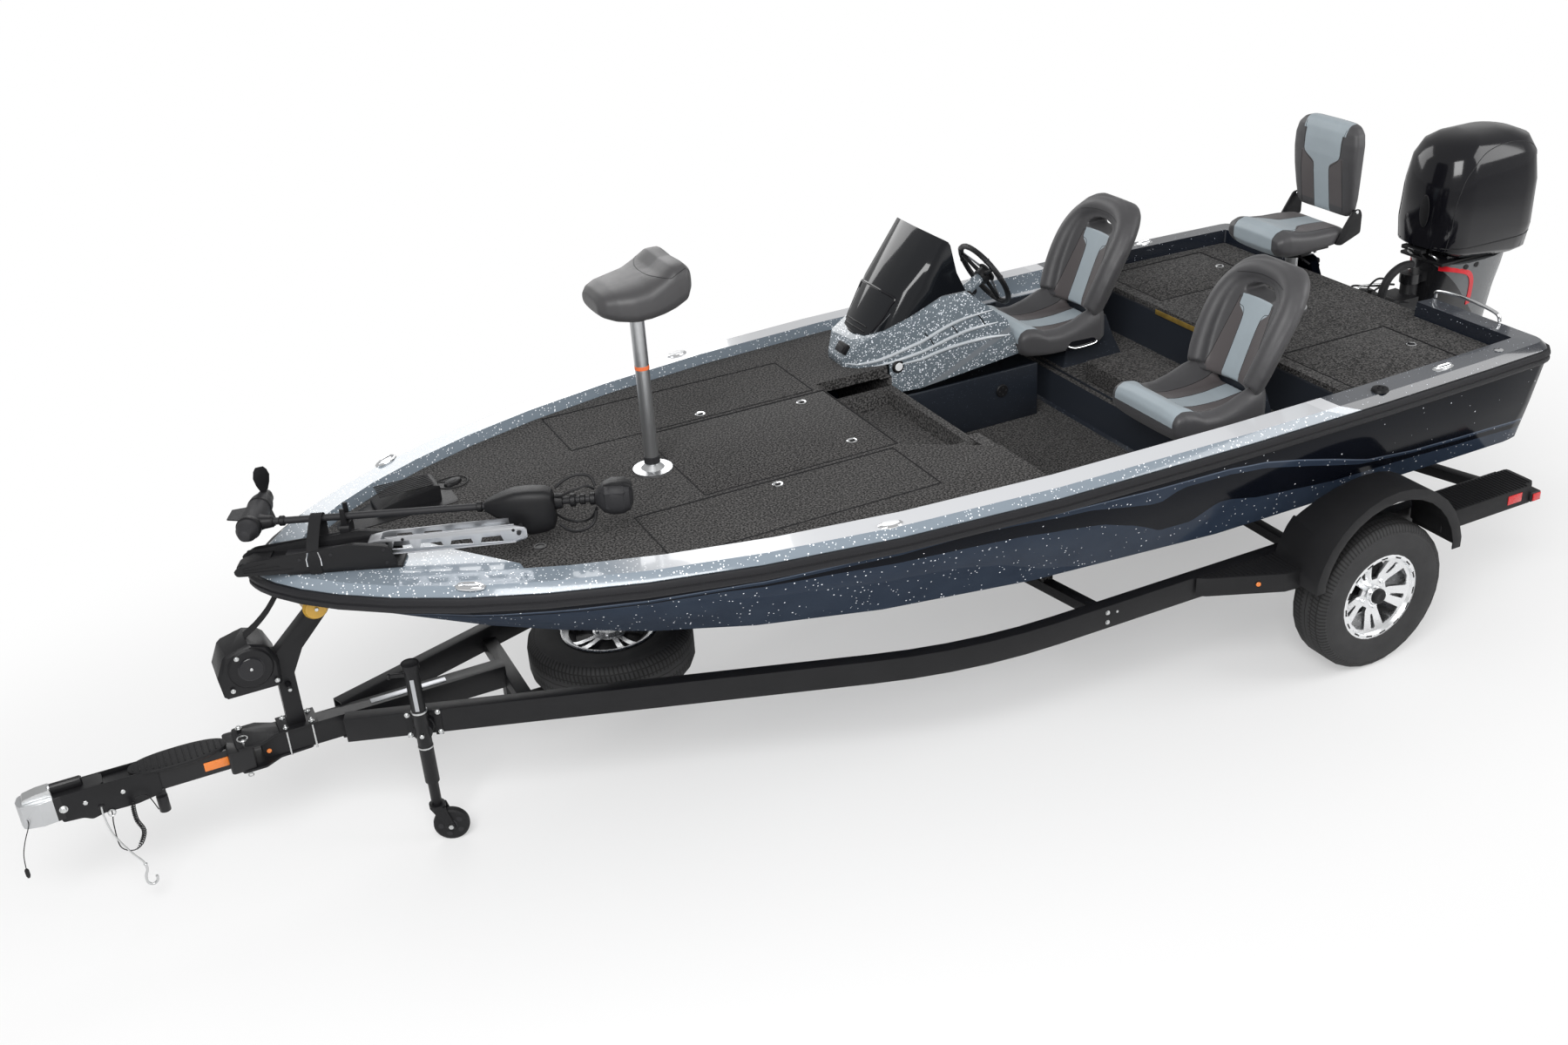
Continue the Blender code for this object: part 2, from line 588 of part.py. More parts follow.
bowPostX, bowSeatZ = 4.000, 1.985
postProfile = [(0, bowSeatZ), (0.030, bowSeatZ), (0.030, 1.330), (0.050, 1.312), (0.085, 1.310),
               (0.085, frontDeckTop + seat), (0, frontDeckTop + seat)]
piece("bow_post", [turned(postProfile, (bowPostX, 0, 0), (0, 0, 1), 24)],
      "blackPlastic")
bowSwivel = anchor("bow_seat_swivel", (bowPostX, 0, bowSeatZ))
saddle = [(3.800, 2.080), (3.830, 2.020), (3.920, 2.000), (4.080, 2.000), (4.190, 2.050), (4.200, 2.130),
          (4.140, 2.190), (4.020, 2.195), (3.930, 2.240), (3.850, 2.262), (3.800, 2.220)]
piece("bow_seat", [softened(plate(rounded(saddle, 0.03, 2), -0.190, 0.190, "Y"), 0.04),
                   rod((bowPostX, 0, bowSeatZ + seat), (bowPostX, 0, 2.03), 0.075)], "vinyl", bowSwivel)

chairX, chairPostTop = 0.570, 1.570
piece("chair_post", [turned([(0, chairPostTop), (0.030, chairPostTop), (0.030, 1.312), (0.055, 1.292),
                             (0.095, 1.290), (0.095, rearDeckTop + seat), (0, rearDeckTop + seat)],
                            (chairX, 0, 0), (0, 0, 1), 24)], "blackPlastic")
chairSwivel = anchor("chair_swivel", (chairX, 0, chairPostTop))
pan = [(0.402, 1.625), (0.760, 1.610), (0.815, 1.640), (0.840, 1.700), (0.815, 1.760), (0.740, 1.768),
       (0.600, 1.735), (0.450, 1.725), (0.402, 1.735)]
foldX, foldZ = 0.380, 1.790
ears = [plate(rounded([(0.345, 1.680), (0.460, 1.640), (0.460, 1.700), (0.402, 1.800), (0.362, 1.805),
                       (0.345, 1.775)], 0.01, 1), y - 0.008, y + 0.008, "Y") for y in (-0.208, 0.208)]
piece("chair_seat", [softened(plate(rounded(pan, 0.02, 2), -0.210, 0.210, "Y"), 0.025),
                     rod((chairX, 0, chairPostTop + seat), (chairX, 0, 1.64), 0.090),
                     rod((foldX, -0.214, foldZ), (foldX, 0.214, foldZ), 0.008, sides=16), *ears], "vinyl",
      chairSwivel)
chairFold = anchor("chair_back_fold", (foldX, 0, foldZ), chairSwivel)
back = [(0.350, 1.745), (0.398, 1.742), (0.408, 1.800), (0.425, 1.880), (0.440, 1.930), (0.440, 2.150),
        (0.405, 2.225), (0.350, 2.225), (0.322, 2.160), (0.332, 1.900)]
piece("chair_back", [softened(plate(rounded(back, 0.012, 2), -0.194, 0.194, "Y"), 0.010)], "vinyl", chairFold,
      cuts=[rod((foldX, -0.3, foldZ), (foldX, 0.3, foldZ), 0.0085, sides=16)])

pedal = plate(rounded([(4.86, frontDeckTop + seat), (5.13, frontDeckTop + seat), (5.13, 1.325), (4.90, 1.380),
                       (4.86, 1.370)], 0.008, 2), -0.340, -0.210, "Y")
piece("foot_pedal", [softened(pedal, 0.006)], "blackPlastic")

# outboard

tiltAt = Vector((-0.085, 0, 1.160))
steerX = -0.240
propZ = 0.430
cheek = [(-seat, 0.850), (-seat, 1.1505), (0.046, 1.1505), (0.046, 1.180), (-0.050, 1.215), (-0.115, 1.200),
                 (-0.130, 1.150), (-0.060, 1.000), (-0.035, 0.850)]
tiltHalf = Vector((0, 0.160, 0))
piece("outboard_bracket", [rod(tiltAt - tiltHalf, tiltAt + tiltHalf, 0.020, sides=24),
                           plate(cheek, 0.100, 0.140, "Y"), plate(cheek, -0.140, -0.100, "Y"),
                           block((-0.030, -0.001), (-0.139, 0.139), (0.880, 0.980), 0.004)], "legGrey")

tilt = anchor("outboard_tilt", tiltAt)
arms = [rod((tiltAt.x, -0.094, tiltAt.z), (tiltAt.x, 0.094, tiltAt.z), 0.042, sides=28),
        rod((steerX, 0, 0.830), (steerX, 0, 1.250), 0.044, sides=24),
        block((steerX + 0.006, -0.102), (-0.081, 0.081), (1.123, 1.193)),
        plate([(steerX + 0.004, 0.870), (-0.150, 1.060), (-0.118, 1.140), (steerX + 0.004, 1.150)],
              -0.020, 0.020, "Y")]
piece("outboard_swivel", arms, "legGrey", tilt,
      cuts=[rod((tiltAt.x, -0.2, tiltAt.z), (tiltAt.x, 0.2, tiltAt.z), 0.02035, sides=24)])

steer = anchor("outboard_steering", (steerX, 0, 1.0), tilt)


def rib(xFront, xAft, half, z, lean=0.0, front=0.35, tail=0.5, steps=5):
    """level section of the engine or leg: a lozenge with round ends, leaning down towards the stern"""
    length = xFront - xAft
    sidePlate = []
    for k in range(steps + 1):
        a = pi / 2 * (k + 0.4) / (steps + 0.4)
        sidePlate.append((xAft + length * tail * (1 - cos(a)), half * sin(a)))
    for k in range(steps, -1, -1):
        a = pi / 2 * (k + 0.4) / (steps + 0.4)
        sidePlate.append((xFront - length * front * (1 - cos(a)), half * sin(a)))
    loop = sidePlate + [(x, -y) for x, y in sidePlate[::-1]]
    return [(x, y, z + lean * (x - steerX)) for x, y in loop]


# leg: height, front, aft, half width
leg = [rib(front, rearmost, half, z, 0.0, 0.3, 0.5) for z, front, rearmost, half in (
    (1.352, -0.305, -0.840, 0.170), (1.270, -0.305, -0.835, 0.150), (1.120, -0.305, -0.815, 0.110),
    (0.950, -0.305, -0.795, 0.075), (0.800, -0.310, -0.740, 0.055), (0.640, -0.330, -0.700, 0.038),
    (0.455, -0.430, -0.690, 0.030))]
aerofoil = [(-0.280, 0.0), (-0.330, 0.055), (-0.500, 0.100), (-0.800, 0.110), (-0.920, 0.090),
            (-0.920, -0.090), (-0.800, -0.110), (-0.500, -0.100), (-0.330, -0.055)]
skeg = [(-0.430, 0.400), (-0.785, 0.400), (-0.760, 0.330), (-0.740, 0.240), (-0.640, 0.235), (-0.560, 0.320)]
legParts = [loft(leg), plate(aerofoil, 0.626, 0.640),
            turned([(0, 0.385), (0.020, 0.378), (0.045, 0.340), (0.058, 0.270), (0.060, 0.150),
                    (0.058, 0.000), (0, 0.000)], (-0.795, 0, propZ), (1, 0, 0), 24),
            plate(skeg, -0.006, 0.006, "Y"), block((-0.400, steerX), (-0.045, 0.045), (1.2525, 1.298)),
            block((-0.395, steerX), (-0.032, 0.032), (0.793, 0.8275)),
            rod((steerX, 0, 1.2505), (steerX, 0, 1.300), 0.052),
            rod((steerX, 0, 0.790), (steerX, 0, 0.8295), 0.052)]
piece("outboard_leg", legParts, "legGrey", steer)

# cowl: height at the front, front, aft, half width, lean of the section
cowl = [rib(front, rearmost, half, z, lean, 0.22, 0.30) for z, front, rearmost, half, lean in (
    (1.412, -0.300, -0.860, 0.180, 0.10), (1.450, -0.235, -0.925, 0.208, 0.12),
    (1.560, -0.232, -0.945, 0.220, 0.10), (1.760, -0.250, -0.948, 0.216, 0.05),
    (1.880, -0.275, -0.925, 0.200, 0.02), (1.950, -0.320, -0.870, 0.170, 0.0),
    (1.985, -0.390, -0.780, 0.125, 0.0), (2.000, -0.480, -0.690, 0.070, 0.0))]
piece("outboard_cowl", [loft(cowl), block((-0.72, -0.36), (-0.12, 0.12), (1.3525, 1.430))],
      "cowlBlack", steer)

spin = anchor("propeller_axis", (-0.860, 0, propZ), steer)


def blades(count, hubR, tipR, chord, twist, at, axis, thickness):
    """blades of a propeller about an axis, each a thin leaf twisted from root to tip"""
    axis = Vector(axis)
    made = []
    for n in range(count):
        out = Vector((0, 0, 1)) if abs(axis.z) < 0.9 else Vector((1, 0, 0))
        out.rotate(Matrix.Rotation(2 * pi * n / count, 3, axis))
        across = axis.cross(out)
        rings = []
        for t in (0, 0.3, 0.6, 0.85, 1):
            r = hubR * 0.8 + (tipR - hubR * 0.8) * t
            wide = chord * (0.55 + 1.5 * t - 1.55 * t ** 3)
            pitch = radians(twist) * (1 - 0.55 * t)
            along = across * cos(pitch) + axis * sin(pitch)
            face = axis * cos(pitch) - across * sin(pitch)
            half = thickness * (1 - 0.6 * t)
            centre = Vector(at) + out * (r * r - (wide * 0.45 * cos(pitch)) ** 2 if t == 1 else r * r) ** 0.5
            rings.append([centre + along * wide / 2, centre + face * half, centre - along * wide / 2,
                          centre - face * half])
        made.append(loft(rings))
    return made


piece("propeller", [turned([(0, 0.060), (0.045, 0.058), (0.050, 0.030), (0.050, -0.0645), (0, -0.0645)],
                           (-0.860, 0, propZ), (-1, 0, 0), 24)]
      + blades(3, 0.050, 0.175, 0.130, 55, (-0.860, 0, propZ), (1, 0, 0), 0.006), "steel", spin)

# trolling motor, stowed on the bow: lengths run along its own mount (x) and to its left (y)

mountAt = (5.240, 0.260, 1.3465)
mount = anchor("trolling_mount", mountAt, turn=radians(-24))
pivotZ = 0.075
sidePlate = rounded([(-0.090, 0.010), (-0.060, 0.100), (0.060, 0.115), (0.500, 0.060), (0.520, 0.010)],
                    0.012, 2)
baseParts = [block((-0.110, 0.330), (-0.045, 0.064), (0.0003, 0.014), 0.003),
             plate(sidePlate, 0.052, 0.060, "Y"), plate(sidePlate[:], -0.052, -0.044, "Y"),
             block((0.300, 0.400), (-0.050, 0.058), (0.020, 0.050), 0.006)]
piece("trolling_base", baseParts, "blackPlastic", mount, local=True,
      cuts=[rod((0, -0.1, pivotZ), (0, 0.1, pivotZ), 0.0085, sides=16)])

place[mount] = Vector((0, 0, 0))
armSwing = anchor("trolling_arm_pivot", (0, 0, pivotZ), mount)
linkEnd = Vector((-0.560, 0, 0.100))
armLine = [(0.020, 0.050), (0.020, 0.098), (-0.060, 0.112), (-0.540, 0.132), (-0.590, 0.118), (-0.590, 0.072),
           (-0.540, 0.060), (-0.080, 0.046)]
windows = [[(x0, 0.066), (x1, 0.066), (x1 - 0.012, 0.100), (x0 + 0.012, 0.100)]
           for x0, x1 in ((-0.500, -0.410), (-0.385, -0.295), (-0.270, -0.180), (-0.155, -0.075))]
piece("trolling_arm", [plate(rounded(armLine, 0.01, 1), -0.034, 0.038, "Y"),
                       rod((0, -0.060, pivotZ), (0, 0.068, pivotZ), 0.008, sides=16)],
      "alloy", armSwing, cuts=[plate(window, -0.1, 0.1, "Y") for window in windows]
      + [block((-0.7, -0.035), (-0.028, 0.032), (0.0, 0.2))]
      + [rod((linkEnd.x, -0.1, linkEnd.z), (linkEnd.x, 0.1, linkEnd.z), 0.0083, sides=16)])
motorSwing = anchor("trolling_motor_pivot", linkEnd, armSwing)
shaftY, shaftZ, podX = -0.085, 0.160, 0.470
motor = [rod((-0.900, shaftY, shaftZ), (podX, shaftY, shaftZ), 0.014, sides=16),
         block((-0.660, -0.520), (shaftY - 0.035, -0.040), (0.070, 0.215), 0.012),
         rod((linkEnd.x, -0.060, linkEnd.z), (linkEnd.x, 0.046, linkEnd.z), 0.008, sides=16),
         turned([(0, 0.160), (0.022, 0.150), (0.040, 0.115), (0.045, 0.080), (0.045, -0.120), (0.038, -0.150),
                 (0, -0.150)], (podX, shaftY - 0.035, shaftZ), (0, 1, 0), 24),
         plate([(podX + 0.030, shaftY - 0.02), (podX + 0.105, shaftY - 0.04), (podX + 0.105, shaftY - 0.12),
                (podX + 0.030, shaftY - 0.14)], shaftZ - 0.003, shaftZ + 0.003),
         softened(block((-0.980, -0.870), (shaftY - 0.055, shaftY + 0.055),
                        (shaftZ - 0.045, shaftZ + 0.060)), 0.02)]
piece("trolling_motor", motor, "blackPlastic", motorSwing)
screwAt = (podX, shaftY - 0.225, shaftZ)
screwSpin = anchor("trolling_propeller_axis", screwAt, motorSwing)
screwHub = [(0, 0.030), (0.020, 0.024), (0.032, -0.005), (0.032, -0.0395), (0, -0.0395)]
piece("trolling_propeller", [turned(screwHub, screwAt, (0, -1, 0), 20)]
      + blades(2, 0.032, 0.130, 0.060, 50, screwAt, (0, 1, 0), 0.004), "blackPlastic", screwSpin)

# trailer

railY, railZ = 0.955, 0.545
railW, railH = 0.060, 0.110
bendX, bendR, bendTo = 2.600, 2.400, radians(20)
bend = [(bendX + bendR * sin(bendTo * k / 5), railY - bendR * (1 - cos(bendTo * k / 5))) for k in range(6)]
noseReach = 2.174
railEnd = (bend[-1][0] + noseReach * cos(bendTo), bend[-1][1] - noseReach * sin(bendTo))
railLine = [(0.020, railY)] + bend + [railEnd]
railAlong = Vector((cos(bendTo), -sin(bendTo), 0))
railOut = Vector((sin(bendTo), cos(bendTo), 0))


def railCentre(x):
    """sideways place of the port rail's middle at x"""
    for (x0, y0), (x1, y1) in zip(railLine, railLine[1:]):
        if x <= x1:
            return y0 + (y1 - y0) * (x - x0) / (x1 - x0)
    return railLine[-1][1]


jackAt = Vector((5.196, 0.262, railZ))
jackFoot = jackAt - railOut * (jackAt - Vector((5.196, railCentre(5.196), railZ))).dot(railOut)
for sideName, side in (("port", 1), ("starboard", -1)):
    parts = [boxTube([(x, side * y, railZ) for x, y in railLine], railW, railH)]
    if side == 1:
        face = jackFoot + railOut * (railW / 2 - 0.004)
        near = jackAt - railOut * 0.0335
        parts.append(rod(face, near, 0.045, sides=24))
    piece("trailer_rail_" + sideName, parts, "blackSteel")

innerY = railY - railW / 2 - seat
for name, x in (("rear_crossmember", 0.080), ("front_crossmember", 2.350)):
    beam = [(x, y, z - 0.030) for y, z in ((-innerY + 0.0038, 0.570), (-0.300, 0.480), (0.300, 0.480),
                                           (innerY - 0.0038, 0.570))]
    piece(name, [boxTube(beam, 0.050, 0.060, (1, 0, 0), 0.004)], "blackSteel")


def hullBottom(x, y):
    """height of the hull's underside at a place under the flat of the bottom"""
    rings = [hullRing(station) for station in outerLine]
    keelCuts = []
    for ring in rings[8:-3]:
        inner, middle, keel = ring[4], ring[5], ring[6]
        t = y / inner.y
        keelCuts.append((keel.x + (inner.x - keel.x) * t, keel.z + (inner.z - keel.z) * t))
    keelCuts.sort()
    for (x0, z0), (x1, z1) in zip(keelCuts, keelCuts[1:]):
        if x0 <= x <= x1:
            return z0 + (z1 - z0) * (x - x0) / (x1 - x0)
    return keelCuts[0][1] if x < keelCuts[0][0] else keelCuts[-1][1]


bunkY, bunkHalf, bunkDeep = 0.500, 0.050, 0.042
for sideName, side in (("port", 1), ("starboard", -1)):
    rings = []
    for x in (0.10, 0.45, 1.07, 1.80, 2.55):
        low, high = hullBottom(x, bunkY - bunkHalf), hullBottom(x, bunkY + bunkHalf)
        gap = 0.0008 if x < 2 else 0.004
        rings.append([(x, side * (bunkY - bunkHalf), low - gap), (x, side * (bunkY + bunkHalf), high - gap),
                      (x, side * (bunkY + bunkHalf), high - bunkDeep), (x, side * (bunkY - bunkHalf),
                                                                        low - bunkDeep)])
    parts = [loft(rings)]
    for x in (0.130, 2.350):
        foot = 0.480 + (bunkY + 0.030 - 0.300) / (innerY - 0.300) * 0.090 - 0.0043
        parts.append(block((x - 0.028, x + 0.028), (side * (bunkY - 0.030), side * (bunkY + 0.030)),
                           (foot, hullBottom(x, bunkY) - 0.020)))
    piece("bunk_" + sideName, parts, "darkTrim")

# tongue: spine from the spare's crossmember to the hinge, with the spare's carrier under it
tongueHalf = 0.0375
hingeX = 5.865
noseX = 4.750
cross = railCentre(noseX + 0.030) - railW / 2 / cos(bendTo) - 0.001
ear = rounded([(5.600, -0.040), (5.735, -0.046), (5.800, -0.085), (5.895, -0.085), (5.895, 0.085),
               (5.800, 0.085), (5.735, 0.046), (5.600, 0.040)], 0.015, 2)
gusset = [(5.000, -0.200), (5.480, -0.040), (5.480, 0.040), (5.000, 0.200), (5.120, 0.150), (5.260, 0.060),
          (5.260, -0.060), (5.120, -0.150)]
spareX, spareZ = 4.280, 0.517
carrier = [(4.080, 0.345), (4.780, 0.345), (4.780, 0.500), (4.722, 0.500), (4.722, 0.395), (4.080, 0.395)]
piece("tongue", [boxTube([(noseX + 0.020, 0, 0.5395), (5.800, 0, 0.5395)], 0.075, 0.102),
                 block((noseX - 0.030, noseX + 0.030), (-cross, cross), (0.495, 0.555)),
                 plate(ear, 0.5892, 0.5990), plate(ear, 0.4810, 0.4908), plate(gusset, 0.4817, 0.4897),
                 plate(carrier, -0.030, 0.030, "Y"), rod((spareX, 0, 0.390), (spareX, 0, 0.512), 0.020),
                 rod((hingeX, -0.055, 0.470), (hingeX, -0.055, 0.610), 0.010, sides=16)], "blackSteel")

tyreR, tyreHalf, rimR = 0.365, 0.1025, 0.212
tyreOut = [(rimR + 0.001, -0.086), (rimR + 0.001, 0.086), (0.235, 0.0985), (0.290, tyreHalf),
           (0.335, 0.099), (0.356, 0.085), (tyreR, 0.062), (tyreR, -0.062), (0.356, -0.085),
           (0.335, -0.099), (0.290, -tyreHalf), (0.235, -0.0985)]
rimOut = [(0.0, 0.058), (0.035, 0.058), (0.040, 0.042), (0.095, 0.040), (0.190, 0.070), (0.196, 0.086),
          (rimR + 0.0007, 0.0855), (rimR + 0.0007, 0.060), (0.186, 0.040), (0.186, -0.060),
          (rimR + 0.0007, -0.070), (rimR + 0.0007, -0.0855), (0.196, -0.086), (0.178, -0.060), (0.178, 0.048),
          (0.095, 0.022), (0.0, 0.022)]


def pockets(at, axis):
    """the openings between the wheel's paired spokes"""
    at, axis = Vector(at), Vector(axis)
    made = []
    for n in range(5):
        for inner, outer, width, shift in ((0.075, 0.176, 0.30, 0.0), (0.110, 0.172, 0.07, pi / 5)):
            a = 2 * pi * n / 5 + pi / 2 + shift
            rings = []
            for high in (-0.05, 0.12):
                rings.append([])
                for r, swing in ((inner, -width * 0.7), (outer, -width), (outer * 1.02, 0), (outer, width),
                                 (inner, width * 0.7)):
                    out = Vector((cos(a + swing), 0, sin(a + swing)))
                    rings[-1].append(at + out * r + axis * high)
            made.append(loft(rings))
    return made


axleX, hubZ, wheelY = 1.030, tyreR, 1.1625
for sideName, side in (("port", 1), ("starboard", -1)):
    hub = (axleX, side * wheelY, hubZ)
    rolling = anchor("wheel_axis_" + sideName, hub)
    piece("tyre_" + sideName, [turned(tyreOut, hub, (0, side, 0), 32, ring=True)], "rubber", rolling)
    piece("rim_" + sideName, [turned(rimOut, hub, (0, side, 0), 32)], "chromeRim", rolling,
          cuts=pockets(hub, (0, side, 0)))
spare = [(0, 0.062), (0.090, 0.062), (0.150, 0.050), (0.200, 0.085), (0.235, 0.0985),
         (0.290, tyreHalf - 0.005), (0.335, 0.094), (0.358, 0.075), (tyreR, 0.055), (tyreR, -0.055),
         (0.358, -0.075), (0.335, -0.094), (0.290, -tyreHalf + 0.005), (0.235, -0.0985), (0.200, -0.0935),
         (0.150, -0.060), (0.090, -0.1210), (0.021, -0.1210), (0.021, 0.000), (0.0, 0.000)]
piece("spare_wheel", [turned(spare, (spareX, 0, spareZ), (0, 0, 1), 26)], "rubber")

# axle with its leaf springs and hubs
springs = [block((axleX - 0.025, axleX + 0.025), (-1.000, 1.000), (hubZ - 0.025, hubZ + 0.025)),
           rod((axleX, -1.180, hubZ), (axleX, 1.180, hubZ), 0.022)]
for side in (1, -1):
    y = side * railY
    leafLine = [(axleX + dx, hubZ + 0.046 + 0.040 * (dx / 0.36) ** 2)
                for dx in (-0.36, -0.24, -0.12, 0, 0.12, 0.24, 0.36)]
    springs.append(sweep([(x, y, z) for x, z in leafLine], [(-0.010, -0.030), (0.010, -0.030), (0.010, 0.030),
                                                           (-0.010, 0.030)], (0, 1, 0)))
    springs.append(block((axleX - 0.040, axleX + 0.040), (y - 0.032, y + 0.032),
                         (hubZ - 0.034, hubZ + 0.062)))
    for dx in (-0.36, 0.36):
        springs.append(block((axleX + dx - 0.018, axleX + dx + 0.018), (y - 0.034, y + 0.034),
                             (hubZ + 0.060, railZ - railH / 2 - seat)))
    springs.append(turned([(0, 0.050), (0.050, 0.050), (0.070, 0.040), (0.115, 0.030), (0.115, -0.030),
                           (0.050, -0.032), (0, -0.032)], (axleX, side * 1.095, hubZ), (0, side, 0), 28))
    springs.append(rod((axleX, side * 1.12, hubZ), (axleX, side * (wheelY + 0.0217), hubZ), 0.045))
piece("axle", springs, "blackSteel")

# fenders with their steps
archX, archZ, archR, archOut = 1.035, 0.490, 0.430, 1.290
rearStepTop, frontStepTop, skirtDeep = 0.640, 0.602, 0.090
for sideName, side in (("port", 1), ("starboard", -1)):
    def arch(r, low):
        a0 = 0.20
        line = [(archX + r * cos(a0 + (pi - 2 * a0) * k / 14), archZ + r * sin(a0 + (pi - 2 * a0) * k / 14))
                for k in range(15)]
        return line + [(line[-1][0], low), (line[0][0], low)]
    over = without(plate(arch(archR, 0.525), side * 1.000, side * archOut, "Y"),
                   plate(arch(archR - 0.005, 0.500), side * 0.950, side * (archOut - 0.005), "Y"),
                   plate(arch(archR - 0.050, 0.500), side * 1.200, side * 1.350, "Y"))
    # each step: its outline, the hollow under it, its top, and the brackets that carry it from the rail
    rear = ([(0.020, 0.986), (0.630, 0.986), (0.630, 1.180), (0.060, 1.175), (0.020, 1.140)],
            [(0.032, 0.900), (0.618, 0.900), (0.618, 1.168), (0.064, 1.163), (0.032, 1.134)],
            rearStepTop, (0.150, 0.560))
    front = ([(1.440, 0.986), (1.925, 0.986), (1.530, 1.172), (1.440, 1.180)],
             [(1.452, 0.900), (2.079, 0.900), (1.525, 1.161), (1.452, 1.168)],
             frontStepTop, (1.520, 1.680))
    parts = [over]
    for outline, inside, top, brackets in (rear, front):
        outline = rounded([(x, side * y) for x, y in outline], 0.02, 2)
        parts.append(without(plate(outline, top - skirtDeep, top),
                             plate([(x, side * y) for x, y in inside], top - skirtDeep - 0.010, top - 0.012)))
        for x in brackets:
            parts.append(block((x - 0.025, x + 0.025), (side * 0.9855, side * 1.060),
                               (top - 0.060, top - 0.008)))
    parts.append(block((0.008, 0.070), (side * 1.120, side * 1.190), (0.556, 0.606), 0.006))
    clear = plate([(side * 0.900, 0.770), (side * 1.014, 0.770), (side * 1.100, 0.960),
                   (side * 0.900, 0.960)], 0.500, 1.600, "X")
    piece("fender_" + sideName, parts, "blackSteel", cuts=[clear])

# winch stand on the tongue, with the roller under the bow
standX = 5.645
stand = [(standX - 0.035, 0.5993), (standX + 0.035, 0.5993), (standX + 0.035, 0.820), (standX + 0.120, 0.860),
         (standX + 0.120, 0.900), (standX + 0.020, 0.945), (5.520, 1.080), (5.455, 1.100), (5.445, 1.060),
         (5.560, 0.940), (standX - 0.035, 0.840)]
rollerAt = Vector((5.478, 0, 1.108))
roller = turned([(0, 0.060), (0.040, 0.060), (0.050, 0.045), (0.044, 0.0), (0.050, -0.045), (0.040, -0.060),
                 (0, -0.060)], rollerAt, (0, 1, 0), 20)
winchBody = softened(plate([(5.665, 0.830), (5.890, 0.830), (5.900, 0.930), (5.860, 1.020), (5.760, 1.045),
                            (5.690, 1.020), (5.660, 0.940)], -0.085, 0.085, "Y"), 0.012)
piece("winch_stand", [plate(stand, -0.030, 0.030, "Y"), winchBody, roller,
                      rod((5.800, -0.150, 0.930), (5.800, 0.0, 0.930), 0.012, sides=12),
                      block((5.788, 5.812), (-0.160, -0.145), (0.740, 0.945)),
                      rod((5.800, -0.150, 0.755), (5.800, -0.260, 0.755), 0.014, sides=12)], "blackSteel")

strap = smooth([(5.762, 0, 1.0472), (5.712, 0, 1.078), (5.655, 0, 1.128), (5.606, 0, 1.190),
                (5.590, 0, 1.2155)], 2)
piece("bow_strap", [sweep(strap, [(-0.0015, -0.025), (0.0015, -0.025), (0.0015, 0.025), (-0.0015, 0.025)],
                          (0, 1, 0))], "darkTrim")

# jack: swings up forward along the rail, its caster turns, its wheel rolls
jackSwing = anchor("jack_swing", jackAt)
casterZ, casterTrail, casterR = 0.180, 0.045, 0.076
legAt = Vector((jackAt.x, jackAt.y, 0))
jack = [rod(legAt + Vector((0, 0, 0.300)), legAt + Vector((0, 0, 0.850)), 0.030, sides=24),
        rod(legAt + Vector((0, 0, casterZ + 0.0045)), legAt + Vector((0, 0, 0.310)), 0.022, sides=20),
        rod(legAt + Vector((0, 0, 0.848)), legAt + Vector((0, 0, 0.872)), 0.036, sides=24),
        rod(legAt + Vector((0, 0, 0.820)) - railAlong * 0.010,
            legAt + Vector((0, 0, 0.820)) + railAlong * 0.090, 0.009, sides=12),
        rod(jackAt - railOut * 0.033, jackAt + railOut * 0.010, 0.040, sides=24)]
piece("jack_leg", jack, "alloy", jackSwing)
swivel = anchor("jack_caster_axis", (legAt.x, legAt.y, casterZ), jackSwing)
wheelC = legAt - railAlong * casterTrail + Vector((0, 0, casterR))
fork = [rod((legAt.x, legAt.y, casterZ - 0.016), (legAt.x, legAt.y, casterZ + 0.004), 0.034, sides=20)]
for sign in (1, -1):
    offset = railOut * sign * 0.024
    top, foot = legAt + Vector((0, 0, casterZ - 0.006)), wheelC
    cheekLine = [top + railAlong * 0.028, top - railAlong * 0.034,
                 foot - railAlong * 0.020 - Vector((0, 0, 0.012)),
                 foot + railAlong * 0.014 - Vector((0, 0, 0.012))]
    fork.append(loft([[p + offset - railOut * 0.003 for p in cheekLine], [p + offset + railOut * 0.003
                                                                         for p in cheekLine]]))
fork.append(rod(wheelC - railOut * 0.030, wheelC + railOut * 0.030, 0.008, sides=16))
piece("jack_fork", fork, "alloy", swivel)
rollSpin = anchor("jack_wheel_axis", wheelC, swivel)
caster = [(0.0083, 0.018), (0.030, 0.018), (0.066, 0.018), (0.074, 0.013), (casterR, 0.0), (0.074, -0.013),
          (0.066, -0.018), (0.030, -0.018), (0.0083, -0.018)]
piece("jack_wheel", [turned(caster, wheelC, railOut, 32, ring=True)], "rubber", rollSpin)

